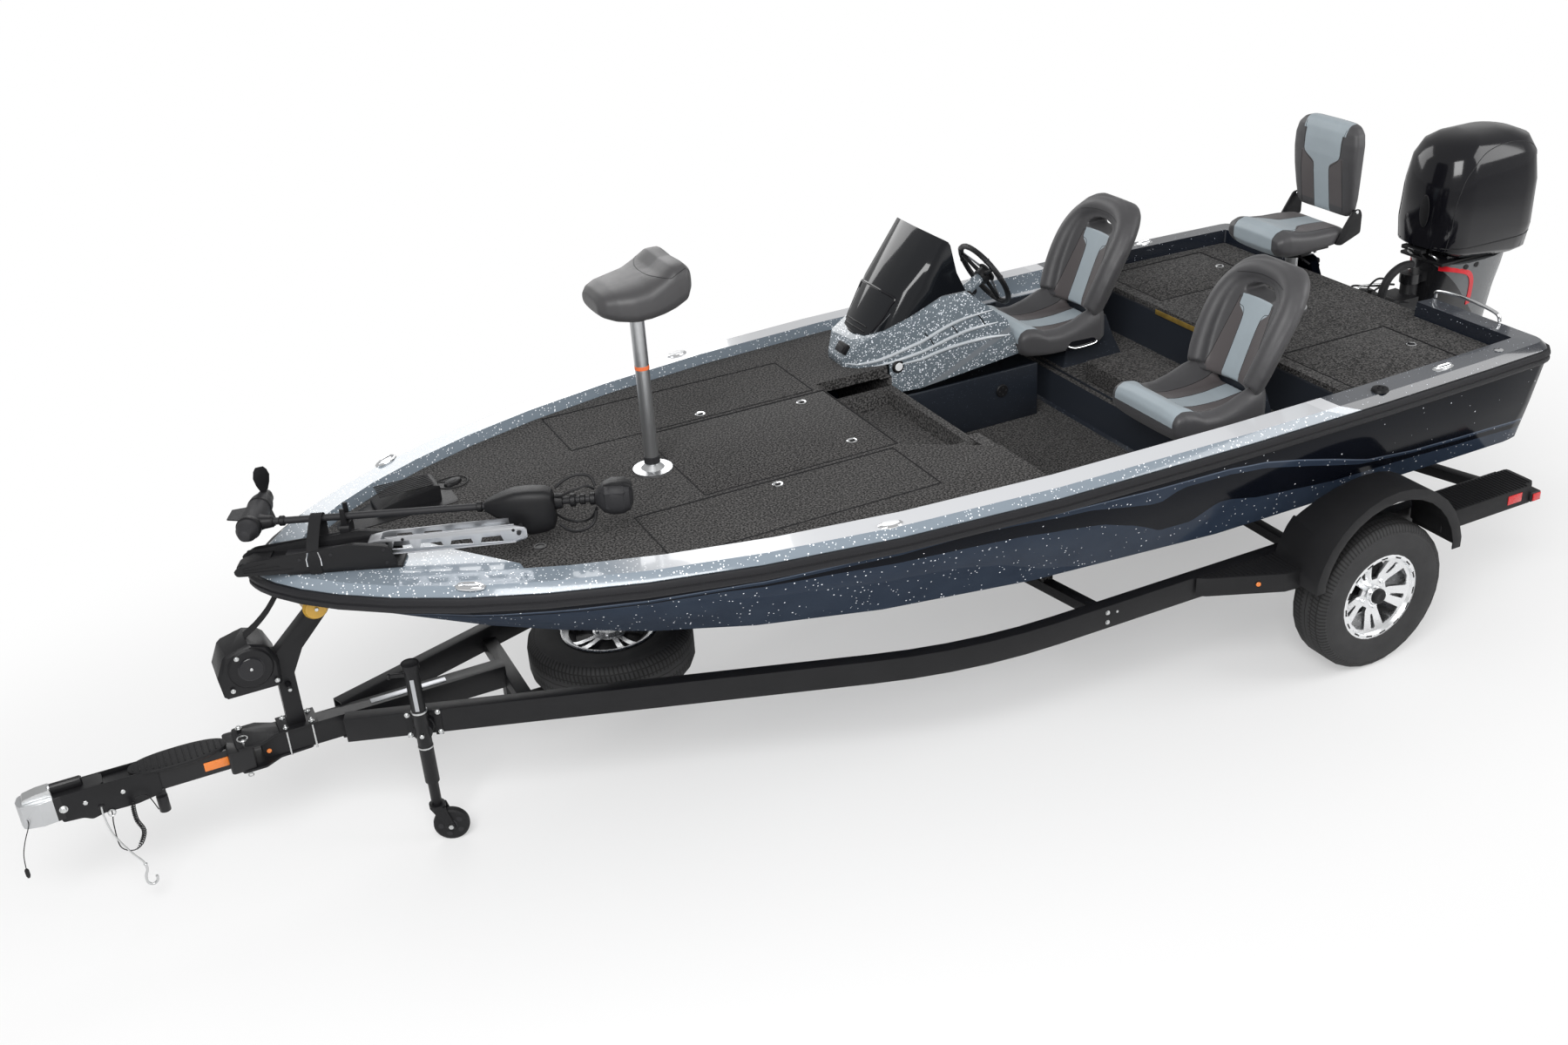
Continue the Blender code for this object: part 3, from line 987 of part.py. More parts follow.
# hinged end of the tongue with its coupler
tongueSwing = anchor("tongue_hinge", (hingeX, -0.055, 0.540))
knuckle = rounded([(5.832, -0.080), (5.935, -0.085), (5.935, 0.085), (5.832, 0.080)], 0.018, 3)
tipX = couplerTipX
coupler = rounded([(6.400, -0.042), (6.560, -0.048), (6.640, -0.058), (tipX - 0.010, -0.040), (tipX, 0.0),
                   (tipX - 0.010, 0.040), (6.640, 0.058), (6.560, 0.048), (6.400, 0.042)], 0.012, 1)
pad = rounded([(5.960, -0.045), (6.260, -0.045), (6.300, -0.025), (6.300, 0.025), (6.260, 0.045),
               (5.960, 0.045), (5.930, 0.025), (5.930, -0.025)], 0.02, 1)
piece("swing_tongue", [block((5.900, 6.540), (-tongueHalf, tongueHalf), (0.4915, 0.5885), 0.004),
                       plate(knuckle, 0.4913, 0.5887), plate(pad, 0.5880, 0.5960),
                       softened(plate(coupler, 0.500, 0.604), 0.010),
                       block((6.470, 6.600), (-0.014, 0.014), (0.600, 0.640), 0.006),
                       rod((6.210, 0.0375, 0.470), (6.210, 0.040, 0.400), 0.022, sides=16),
                       block((6.190, 6.230), (0.020, 0.045), (0.440, 0.500), 0.003),
                       rod((6.430, 0.030, 0.505), (6.430, 0.052, 0.505), 0.012, sides=12),
                       rod((6.400, 0.020, 0.495), (6.400, 0.020, 0.480), 0.010, sides=12),
                       rod((6.690, 0.030, 0.540), (6.690, 0.052, 0.540), 0.006, sides=10)],
      "blackSteel", tongueSwing,
      cuts=[rod((hingeX, -0.055, 0.4), (hingeX, -0.055, 0.7), 0.0103, sides=16),
            turned([(0, 0.030), (0.020, 0.024), (0.030, 0.0), (0.030, -0.07), (0, -0.07)], (6.660, 0, 0.540),
                   (0, 0, 1), 20)])

# cords that hang from the tongue: the lamps' curly lead, the safety cable with its hook, the breakaway cable
lead = [(6.233, 0.068, 0.430), (6.262, 0.070, 0.512), (6.312, 0.070, 0.505), (6.322, 0.068, 0.420),
        (6.308, 0.064, 0.345), (6.352, 0.060, 0.275), (6.405, 0.052, 0.300), (6.408, 0.026, 0.390),
        (6.401, 0.0201, 0.440), (6.400, 0.020, 0.4790)]
safety = [(6.430, 0.0567, 0.512), (6.431, 0.0580, 0.470), (6.418, 0.066, 0.380), (6.375, 0.082, 0.285),
          (6.345, 0.082, 0.230), (6.337, 0.082, 0.205)]
breakaway = [(6.690, 0.0550, 0.548), (6.694, 0.0550, 0.520), (6.722, 0.056, 0.460), (6.742, 0.056, 0.400),
             (6.750, 0.056, 0.335)]
piece("curly_cord", [tube(smooth(lead, 4), 0.010)], "rubber", tongueSwing)
piece("safety_cable", [tube(smooth(safety, 4), 0.004)], "steel", tongueSwing)
piece("breakaway_cable", [tube(smooth(breakaway, 4), 0.002)], "rubber", tongueSwing)
hook = [(6.337, 0.082, 0.2045), (6.336, 0.082, 0.180), (6.348, 0.082, 0.150), (6.346, 0.082, 0.118),
        (6.328, 0.082, 0.105), (6.310, 0.082, 0.118), (6.309, 0.082, 0.140)]
piece("cable_hook", [tube(smooth(hook, 3), 0.006)], "steel", tongueSwing)
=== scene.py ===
from math import sin, cos, pi, radians

import bpy
import bmesh
from mathutils import Matrix, Vector
from mathutils.bvhtree import BVHTree


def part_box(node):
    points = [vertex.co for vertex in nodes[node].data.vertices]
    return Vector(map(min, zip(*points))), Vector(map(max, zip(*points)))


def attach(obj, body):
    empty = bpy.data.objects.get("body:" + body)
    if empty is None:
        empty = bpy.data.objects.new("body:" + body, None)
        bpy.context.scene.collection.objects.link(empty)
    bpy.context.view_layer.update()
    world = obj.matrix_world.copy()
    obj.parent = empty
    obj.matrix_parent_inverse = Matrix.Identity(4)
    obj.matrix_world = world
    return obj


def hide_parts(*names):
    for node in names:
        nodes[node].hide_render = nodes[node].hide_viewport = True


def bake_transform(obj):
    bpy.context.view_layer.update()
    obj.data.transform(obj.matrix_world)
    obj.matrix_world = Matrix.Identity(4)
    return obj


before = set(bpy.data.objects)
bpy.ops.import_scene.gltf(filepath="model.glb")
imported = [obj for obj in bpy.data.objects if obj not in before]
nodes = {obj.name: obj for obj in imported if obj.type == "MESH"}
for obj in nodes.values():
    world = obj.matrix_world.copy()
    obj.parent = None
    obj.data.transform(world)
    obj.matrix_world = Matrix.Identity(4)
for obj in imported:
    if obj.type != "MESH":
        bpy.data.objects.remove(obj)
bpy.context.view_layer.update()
root = "boat_and_trailer"
sternX = -2.885    # the hull's stern in the frame; each x below runs forward from it
handed = (("port", 1), ("starboard", -1))
skyward, leftward = Vector((0, 0, 1)), Vector((0, 1, 0))


def at(x, y, z):
    return Vector((x + sternX, y, z))


def linked(name, data):
    obj = bpy.data.objects.new(name, data)
    bpy.context.scene.collection.objects.link(obj)
    return obj


# camera, in the photograph's place
lookout = {"place": at(6.102, 5.969, 4.291), "yaw": -114.28, "pitch": 27.54, "roll": -3.96, "lens": 37.752}
yaw, pitch, roll = (radians(lookout[key]) for key in ("yaw", "pitch", "roll"))
ahead = Vector((cos(pitch) * cos(yaw), cos(pitch) * sin(yaw), -sin(pitch)))
level = ahead.cross(skyward).normalized()
rise = level.cross(ahead)
across, upward = level * cos(roll) + rise * sin(roll), rise * cos(roll) - level * sin(roll)
camera = linked("camera", bpy.data.cameras.new("camera"))
camera.data.lens, camera.data.sensor_width, camera.data.clip_end = lookout["lens"], 36, 200
facing = Matrix((across, upward, -ahead)).transposed().to_4x4()
camera.matrix_world = Matrix.Translation(lookout["place"]) @ facing
bpy.context.scene.camera = camera
bpy.context.scene.view_settings.view_transform = "Standard"


# paint: a wire wraps a socket, so that shader maths reads as plain sums

class Wire:
    def __init__(self, paint, socket):
        self.paint, self.socket = paint, socket

    def maths(self, operation, *values):
        return self.paint.node("Math", {"operation": operation}, values)

    def __add__(self, other):
        return self.maths("ADD", self, other)

    def __sub__(self, other):
        return self.maths("SUBTRACT", self, other)

    def __rsub__(self, other):
        return self.maths("SUBTRACT", other, self)

    def __mul__(self, other):
        return self.maths("MULTIPLY", self, other)

    def __truediv__(self, other):
        return self.maths("DIVIDE", self, other)

    def __gt__(self, other):
        return self.maths("GREATER_THAN", self, other)

    def __lt__(self, other):
        return self.maths("LESS_THAN", self, other)

    def __pow__(self, other):
        return self.maths("POWER", self, other)

    def __abs__(self):
        return self.maths("ABSOLUTE", self)

    def most(self, other):
        return self.maths("MAXIMUM", self, other)

    def ramp(self, low, high):
        return self.paint.node("MapRange", {"interpolation_type": "SMOOTHSTEP"}, (self, low, high, 0.0, 1.0))

    __radd__, __rmul__ = __add__, __mul__


class Paint:
    def __init__(self, name, colour, rough=0.5, metal=0.0, **extra):
        self.material = bpy.data.materials.new(name)
        self.material.use_nodes = True
        self.tree = self.material.node_tree
        self.shader = self.tree.nodes["Principled BSDF"]
        self.feed("Base Color", colour)
        self.feed("Roughness", rough)
        self.feed("Metallic", metal)
        for key, value in extra.items():
            self.feed(key.replace("_", " "), value)
        self.material.diffuse_color = (*colour[:3], 1) if isinstance(colour, tuple) else (0.2, 0.2, 0.2, 1)

    def put(self, socket, value):
        if isinstance(value, Wire):
            self.tree.links.new(value.socket, socket)
        elif value is not None:
            wide = hasattr(socket.default_value, "__len__") and len(socket.default_value) == 4
            socket.default_value = (*value, 1.0) if wide and len(value) == 3 else value

    def feed(self, socket, value):
        self.put(self.shader.inputs[socket], value)
        return self

    def node(self, kind, settings=None, inputs=(), output=0):
        made = self.tree.nodes.new("ShaderNode" + kind)
        for key, value in (settings or {}).items():
            if key == "stops":
                ramp = made.color_ramp
                while len(ramp.elements) < len(value):
                    ramp.elements.new(0.5)
                for element, (place, colour) in zip(ramp.elements, value):
                    element.position = place
                    element.color = (*colour, 1.0)
            elif key == "line":
                curve = made.mapping.curves[0]
                curve.points[0].location, curve.points[1].location = value[0], value[-1]
                for point in value[1:-1]:
                    curve.points.new(*point)
                for point in curve.points:
                    point.handle_type = "VECTOR"
                made.mapping.update()
            else:
                setattr(made, key, value)
        for key, value in (inputs.items() if isinstance(inputs, dict) else enumerate(inputs)):
            self.put(made.inputs[key], value)
        return Wire(self, made.outputs[output])

    def spot(self):
        return self.node("TexCoord", output="Object")

    def parts(self, vector=None):
        vector = vector or self.spot()
        split = self.node("SeparateXYZ", inputs=[vector])
        return [Wire(self, socket) for socket in split.socket.node.outputs]

    def mix(self, mask, low, high):
        return self.node("Mix", {"data_type": "RGBA", "clamp_factor": True}, {0: mask, 6: low, 7: high}, 2)

    def noise(self, scale, detail=2.0, vector=None, **settings):
        sockets = {"Vector": vector or self.spot(), "Scale": scale, "Detail": detail}
        return self.node("TexNoise", settings, sockets)

    def cells(self, scale, output="Distance", vector=None, feature="F1"):
        sockets = {"Vector": vector or self.spot(), "Scale": scale}
        return self.node("TexVoronoi", {"feature": feature}, sockets, output)

    def normals(self):
        return self.parts(self.node("TexCoord", output="Normal"))

    def bump(self, height, distance=0.001, strength=1.0):
        sockets = {"Height": height, "Distance": distance, "Strength": strength}
        return self.feed("Normal", self.node("Bump", inputs=sockets))

    def flakes(self, scale, share, size):
        # bright specks of flake: one in so many cells, of a size that varies
        near = self.cells(scale)
        lot = self.parts(self.cells(scale, "Color"))
        return (near < lot[1] * size * 0.7 + size * 0.4) * (lot[0] < share)


flakeWhite, blackTone, pewterTone = (0.92, 0.95, 1.0), (0.008, 0.008, 0.009), (0.1, 0.105, 0.11)
powderTone, linerTone = (0.007, 0.007, 0.008), (0.01, 0.013, 0.019)
pileLow, pileHigh = (0.01, 0.0098, 0.0098), (0.108, 0.104, 0.102)


def varied(name, colour, rough, scale, spread, low, metal=0.0, **extra):
    # a plain finish whose roughness wanders
    paint = Paint(name, colour, rough, metal, **extra)
    return paint.feed("Roughness", paint.noise(scale) * spread + low)


def gelcoat(name, colour, share, size, scale, rough, speck=flakeWhite):
    paint = Paint(name, colour, rough, Coat_Weight=0.6, Coat_Roughness=0.04)
    tone = paint.mix(paint.noise(9.0) * 0.12, colour, tuple(min(1, c * 2.2 + 0.01) for c in colour))
    paint.feed("Base Color", paint.mix(paint.flakes(scale, share, size), tone, speck))
    return paint


def powder(name, colour, rough, grain=1400, depth=0.0002):
    paint = varied(name, colour, rough, 30.0, 0.12, rough - 0.06, Specular_IOR_Level=0.28)
    paint.feed("Base Color", paint.mix(paint.noise(6.0), tuple(c * 0.8 for c in colour),
            tuple(c * 1.25 + 0.002 for c in colour)))
    return paint.bump(paint.noise(grain), depth)


def moulded(name, colour, rough):
    paint = varied(name, colour, rough, 60.0, 0.1, rough - 0.05, Specular_IOR_Level=0.28)
    return paint.bump(paint.cells(900.0), 0.00025)


def brushed(name, colour, rough, along=(1.0, 14.0, 14.0)):
    paint = Paint(name, colour, rough, 1.0)
    drawn = paint.node("VectorMath", {"operation": "MULTIPLY"}, [paint.spot(), along])
    grain = paint.noise(40.0, 4.0, drawn)
    paint.feed("Roughness", grain * 0.2 + (rough - 0.1))
    return paint.bump(grain, 0.0001)


def glossy(name, colour, rough=0.1):
    return varied(name, colour, rough, 20.0, 0.06, rough, Specular_IOR_Level=0.35, Coat_Weight=0.2,
            Coat_Roughness=0.03)


def lens(name, colour, rough):
    paint = Paint(name, colour, rough, Coat_Weight=0.6)
    return paint.bump(paint.cells(260.0), 0.0006)


def pileCarpet(name, low, high):
    paint = Paint(name, low, 0.97, Sheen_Weight=0.06, Specular_IOR_Level=0.12)
    loops, fleck, worn = paint.cells(170.0), paint.noise(120.0, 4.0), paint.noise(5.0, 3.0)
    tone = paint.mix((fleck * 5.0 - 2.1) * (worn * 0.5 + 0.75), low, high)
    paint.feed("Base Color", paint.mix(loops.ramp(0.35, 0.9) * 0.35, tone, tuple(c * 0.35 for c in low)))
    return paint.bump(fleck * 0.6 - loops * 0.5, 0.003)


charcoal, paleVinyl, warmVinyl = (0.05, 0.049, 0.052), (0.33, 0.385, 0.42), (0.078, 0.068, 0.069)


def vinyl(name, colour=charcoal):
    paint = Paint(name, colour, 0.46, Sheen_Weight=0.1)
    grain = paint.cells(520.0) * 0.6 + paint.noise(900.0) * 0.4
    paint.feed("Roughness", paint.noise(15.0) * 0.14 + 0.4)
    return paint.bump(grain, 0.0004)


carpet = pileCarpet("deckCarpet", pileLow, pileHigh)
seatCarpet = pileCarpet("stepCarpet", (0.01, 0.0095, 0.0095), (0.085, 0.081, 0.079))
linerGel = gelcoat("linerGel", linerTone, 0.22, 0.13, 190, 0.35, (0.25, 0.31, 0.4))
rubber = moulded("blackRubber", (0.01, 0.01, 0.011), 0.6)
railRubber = moulded("railRubber", (0.012, 0.012, 0.014), 0.5)
satinBlack = moulded("satinBlack", blackTone, 0.42)
darkGrey = moulded("darkGrey", (0.02, 0.02, 0.022), 0.5)
trailerBlack = powder("trailerPowder", powderTone, 0.4)
fenderBlack = powder("fenderPlastic", (0.009, 0.009, 0.01), 0.5, 900, 0.0003)
glossBlack = glossy("glossBlack", (0.005, 0.005, 0.007))
smoke = glossy("smokeScreen", (0.007, 0.008, 0.01), 0.06)
legCoat = Paint("legCoat", pewterTone, 0.25, Coat_Weight=0.2)
lx, ly, lz = legCoat.parts()
isAhead = (lx - sternX + 0.335 > (lz - 1.33) * 0.95) * (lz > 0.98)    # black ahead of the stripe
legCoat.feed("Base Color", legCoat.mix(isAhead, pewterTone, blackTone))
silver = brushed("brushedAlloy", (0.5, 0.51, 0.53), 0.38)
postAlloy = brushed("postAlloy", (0.62, 0.63, 0.64), 0.36, (14.0, 14.0, 1.0))
steel = brushed("zincSteel", (0.62, 0.63, 0.63), 0.32)
chrome = varied("chrome", (0.86, 0.87, 0.88), 0.07, 25.0, 0.05, 0.04, 1.0)
wheelChrome = varied("wheelChrome", (0.88, 0.89, 0.9), 0.1, 40.0, 0.08, 0.24, 1.0)
whitePlastic = varied("whitePlastic", (0.74, 0.75, 0.76), 0.3, 30.0, 0.1, 0.25)
redPaint = varied("redStripe", (0.55, 0.012, 0.02), 0.25, 30.0, 0.1, 0.2)
orangeBand = varied("orangeBand", (0.75, 0.16, 0.05), 0.5, 30.0, 0.1, 0.45)
redLens = lens("redLens", (0.55, 0.01, 0.012), 0.12)
amberLens = lens("amberLens", (0.72, 0.19, 0.02), 0.18)
amberRubber = Paint("amberRoller", (0.62, 0.36, 0.05), 0.35)
amberRubber.bump(amberRubber.noise(300.0), 0.0004)
goldStrip = Paint("goldStrip", (0.42, 0.26, 0.05), 0.35, 0.6)
goldTone = goldStrip.mix(goldStrip.noise(25.0, 4.0), (0.2, 0.13, 0.03), (0.75, 0.5, 0.12))
goldStrip.feed("Base Color", goldTone)
cableBlack = moulded("cableBlack", (0.012, 0.012, 0.013), 0.45)
strapBlack = moulded("strapBlack", (0.01, 0.01, 0.011), 0.8)


def carpeted(name, fromX, aboveZ):
    # liner gel, carpeted forward of a line or on its flat tops over a height
    paint = Paint(name, linerTone, 0.35)
    px, py, pz = paint.parts()
    pile = (px > fromX + sternX).most((pz > aboveZ) * (paint.normals()[2] > 0.8))
    weave = paint.mix(paint.noise(105.0, 4.0) * 5.0 - 2.1, pileLow, pileHigh)
    gel = paint.mix(paint.flakes(95, 0.3, 0.2), (0.02, 0.024, 0.032), (0.3, 0.36, 0.44))
    paint.feed("Base Color", paint.mix(pile, gel, weave))
    paint.feed("Roughness", pile * 0.6 + 0.35)
    return paint


couplerCoat = Paint("couplerCoat", powderTone, 0.4, Specular_IOR_Level=0.4)
isZinc = couplerCoat.parts()[0] > 6.588 + sternX
couplerCoat.feed("Base Color", couplerCoat.mix(isZinc, powderTone, (0.55, 0.56, 0.57)))
couplerCoat.feed("Metallic", isZinc * 0.9)
couplerCoat.bump(couplerCoat.noise(60.0, 4.0), 0.0002)
linerCoat = carpeted("linerCoat", 2.56, 0.985)
benchCoat = carpeted("benchCoat", 9.0, 0.95)

# hull: night gel over blue flake, parted by a thin blue stripe; heights of the three lines along the hull
stripe = {"low": 0.8, "span": 0.6, "length": 5.7, "top": [(0, 0.925), (0.75, 0.958), (1.04, 0.998),
        (1.26, 1.069), (1.49, 1.136), (1.69, 1.186), (1.88, 1.209), (2.26, 1.214), (2.77, 1.244),
        (3.1, 1.262), (3.42, 1.25), (3.8, 1.236), (4.2, 1.224), (5.7, 1.19)],
        "foot": [(0, 0.91), (0.75, 0.942), (1.08, 0.984), (1.41, 1.079), (1.68, 1.152), (1.87, 1.177),
        (2.1, 1.178), (2.15, 1.162), (2.2, 1.131), (2.26, 1.131), (2.4, 1.162), (2.57, 1.203),
        (2.89, 1.229), (3.11, 1.243), (3.42, 1.229), (3.8, 1.218), (4.2, 1.21), (5.7, 1.18)],
        "belly": [(0, 0.88), (0.75, 0.911), (1.21, 0.925), (1.5, 0.961), (1.66, 0.981), (1.81, 1.022),
        (1.88, 1.026), (1.93, 0.99), (1.99, 0.947), (2.15, 0.945), (2.22, 0.986), (2.31, 1.032),
        (2.48, 1.093), (2.67, 1.129), (2.87, 1.155), (3.3, 1.178), (3.7, 1.196), (4.1, 1.203),
        (5.7, 1.175)]}
hullBlue, hullNight = (0.016, 0.024, 0.041), (0.003, 0.004, 0.007)
hullGel = Paint("hullGel", hullNight, 0.1, Specular_IOR_Level=0.07)
hx, hy, hz = hullGel.parts()
along = (hx - sternX) / stripe["length"]


def stripeLine(key):
    points = [(x / stripe["length"], (z - stripe["low"]) / stripe["span"]) for x, z in stripe[key]]
    return hullGel.node("FloatCurve", {"line": points}, [1.0, along]) * stripe["span"] + stripe["low"]


topLine, footLine, bellyLine = (stripeLine(key) for key in ("top", "foot", "belly"))
isBlue = ((hz < topLine) * (hz > footLine)).most(hz < bellyLine)
edgeGlow = 1 - abs(hz - topLine).ramp(0.0, 0.006)
blueTone = hullGel.mix(hullGel.noise(7.0) * 0.9, hullBlue, (0.032, 0.045, 0.068))
specks = hullGel.flakes(62.0, 0.34, 0.2)
rareSpecks = hullGel.flakes(55.0, 0.05, 0.17)
hullTone = hullGel.mix(isBlue, hullNight, blueTone)
hullTone = hullGel.mix(edgeGlow * 0.6, hullTone, (0.16, 0.2, 0.27))
hullGel.feed("Base Color", hullGel.mix((specks * isBlue).most(rareSpecks), hullTone, flakeWhite))
faceDown = hullGel.normals()[2] < -0.45
hullGel.feed("Roughness", faceDown * 0.5 + 0.1)

# gunwale cap: white top, sparkling shoulder, dark from the diagonal edge aft
capGel = Paint("capGel", (0.7, 0.7, 0.7), 0.15, Coat_Weight=0.7, Coat_Roughness=0.03)
cx, cy, cz = capGel.parts()
faceUp = capGel.normals()[2]
capShare = {"darkFrom": 1.16, "lean": 3.2, "paleWide": 0.085}
capX = cx - sternX
isTop = faceUp.ramp(0.94, 0.985)
slant = capX - (cz - 1.3) * capShare["lean"]
isDark = slant < capShare["darkFrom"]
isPaleEdge = (slant < capShare["darkFrom"] + capShare["paleWide"]) * (1 - isDark)
isInner = (faceUp < 0.35) * (cz > 1.255)
bowShade = capX.ramp(4.2, 4.6)
sparkTone = capGel.mix(capGel.flakes(95.0, 0.5, 0.33), (0.2, 0.24, 0.28), (0.93, 0.96, 1.0))
topTone = capGel.mix(bowShade, (0.58, 0.59, 0.61), sparkTone)
silverTone = capGel.mix(isTop, sparkTone, topTone)
darkTone = capGel.mix(isTop * 0.8, (0.01, 0.013, 0.02), (0.085, 0.092, 0.105))
darkTone = capGel.mix(capGel.flakes(110.0, 0.16, 0.2), darkTone, (0.8, 0.85, 0.95))
capTone = capGel.mix(isDark, capGel.mix(isPaleEdge * 0.35, silverTone, (0.85, 0.86, 0.88)), darkTone)
capTone = capGel.mix(isInner * (1 - isDark), capTone, sparkTone)
capGel.feed("Base Color", capTone)

# console: flake with a dark foot
consoleGel = Paint("consoleGel", (0.3, 0.33, 0.36), 0.15, Coat_Weight=0.7, Coat_Roughness=0.03)
kx, ky, kz = consoleGel.parts()
bareBand = (kz - (kx - sternX - 2.0) * -0.42 - 1.33)
ridge = abs(bareBand).ramp(0.01, 0.022)
flakeTone = consoleGel.mix(consoleGel.flakes(120.0, 0.8, 0.4), (0.15, 0.18, 0.205), (0.9, 0.94, 1.0))
consoleGel.feed("Base Color", consoleGel.mix(ridge, (0.2, 0.22, 0.24), flakeTone))
print("paint mixed")


def dress(node, paint, angle=32, soft=0.0, segments=2):
    # a CAD node keeps its shape, and takes this paint and smooth shading
    obj = nodes[node]
    obj.data.materials.clear()
    obj.data.materials.append(paint.material)
    obj.data.shade_smooth()
    if "custom_normal" in obj.data.attributes:
        obj.data.attributes.remove(obj.data.attributes["custom_normal"])
    weld = obj.modifiers.new("weld", "WELD")
    weld.merge_threshold = 0.00002
    if soft:
        bevel = obj.modifiers.new("soft", "BEVEL")
        bevel.width, bevel.segments = soft, segments
        bevel.limit_method, bevel.angle_limit = "ANGLE", radians(35)
        bevel.harden_normals = False
    split = obj.modifiers.new("edges", "EDGE_SPLIT")
    split.split_angle = radians(angle)
    split.use_edge_sharp = False


# finish, crease angle, then the bevel's width and segments, and the nodes that take them
dressed = [(hullGel, (40,), "hull"), (railRubber, (30, 0.0), "rub_rail"), (capGel, (28,), "gunwale_cap"),
           (carpet, (30, 0.004), "front_deck rear_deck centre_lid rod_lid_port rod_lid_starboard"
            " rear_lid_port rear_lid_starboard bunk_port bunk_starboard"),
           (linerCoat, (30, 0.006), "cockpit_liner"), (benchCoat, (30, 0.004), "seat_base"),
           (consoleGel, (30, 0.012, 3), "console"), (smoke, (50,), "windscreen"),
           (satinBlack, (40,), "steering_wheel trolling_propeller"),
           (satinBlack, (30, 0.004), "outboard_bracket"), (satinBlack, (30, 0.002), "trolling_base"),
           (satinBlack, (30, 0.003), "foot_pedal outboard_swivel"), (satinBlack, (35, 0.002), "jack_leg"),
           (satinBlack, (35, 0.0015), "jack_fork"), (postAlloy, (30,), "bow_post chair_post"),
           (legCoat, (40,), "outboard_leg"), (glossBlack, (40,), "propeller"),
           (glossBlack, (50,), "outboard_cowl"), (silver, (30, 0.0015), "trolling_arm"),
           (darkGrey, (35,), "trolling_motor"),
           (trailerBlack, (30, 0.006), "trailer_rail_port trailer_rail_starboard"),
           (trailerBlack, (30, 0.004), "rear_crossmember front_crossmember tongue"),
           (trailerBlack, (30, 0.002), "axle"), (trailerBlack, (30, 0.003), "winch_stand"),
           (wheelChrome, (35, 0.003), "rim_port rim_starboard"), (rubber, (30,), "jack_wheel"),
           (fenderBlack, (35, 0.003), "fender_port fender_starboard"), (strapBlack, (30,), "bow_strap"),
           (couplerCoat, (30, 0.003), "swing_tongue")]
for paint, settings, names in dressed:
    for nodeName in names.split():
        dress(nodeName, paint, *settings)
print("CAD nodes dressed")


# shapes

def catmull(points, each=6, closed=False):
    points = [Vector(p) for p in points]
    count = len(points)
    last = count if closed else count - 1
    line = []
    for i in range(last):
        a = points[(i - 1) % count] if closed or i else points[0]
        b, c = points[i], points[(i + 1) % count]
        d = points[(i + 2) % count] if closed or i + 2 < count else points[-1]
        for k in range(each):
            t = k / each
            line.append(0.5 * (2 * b + (c - a) * t + (2 * a - 5 * b + 4 * c - d) * t * t
                               + (3 * b - a - 3 * c + d) * t ** 3))
    return line if closed else line + [points[-1]]


def power(value, p):
    return (1 if value >= 0 else -1) * abs(value) ** p


def hoop(steps, p=1.0, q=None):
    # a unit circle or rounded box as pairs of across and up
    turns = [2 * pi * k / steps for k in range(steps)]
    return [(power(cos(a), p), power(sin(a), p if q is None else q)) for a in turns]


def roundedOutline(outline, r, steps=3):
    made = []
    outline = [Vector(p) for p in outline]
    for i, corner in enumerate(outline):
        before, after = outline[i - 1], outline[(i + 1) % len(outline)]
        reach = min(r, (before - corner).length * 0.45, (after - corner).length * 0.45)
        a = corner + (before - corner).normalized() * reach
        b = corner + (after - corner).normalized() * reach
        for k in range(steps + 1):
            t = k / steps
            made.append(a * (1 - t) ** 2 + corner * 2 * t * (1 - t) + b * t * t)
    return made


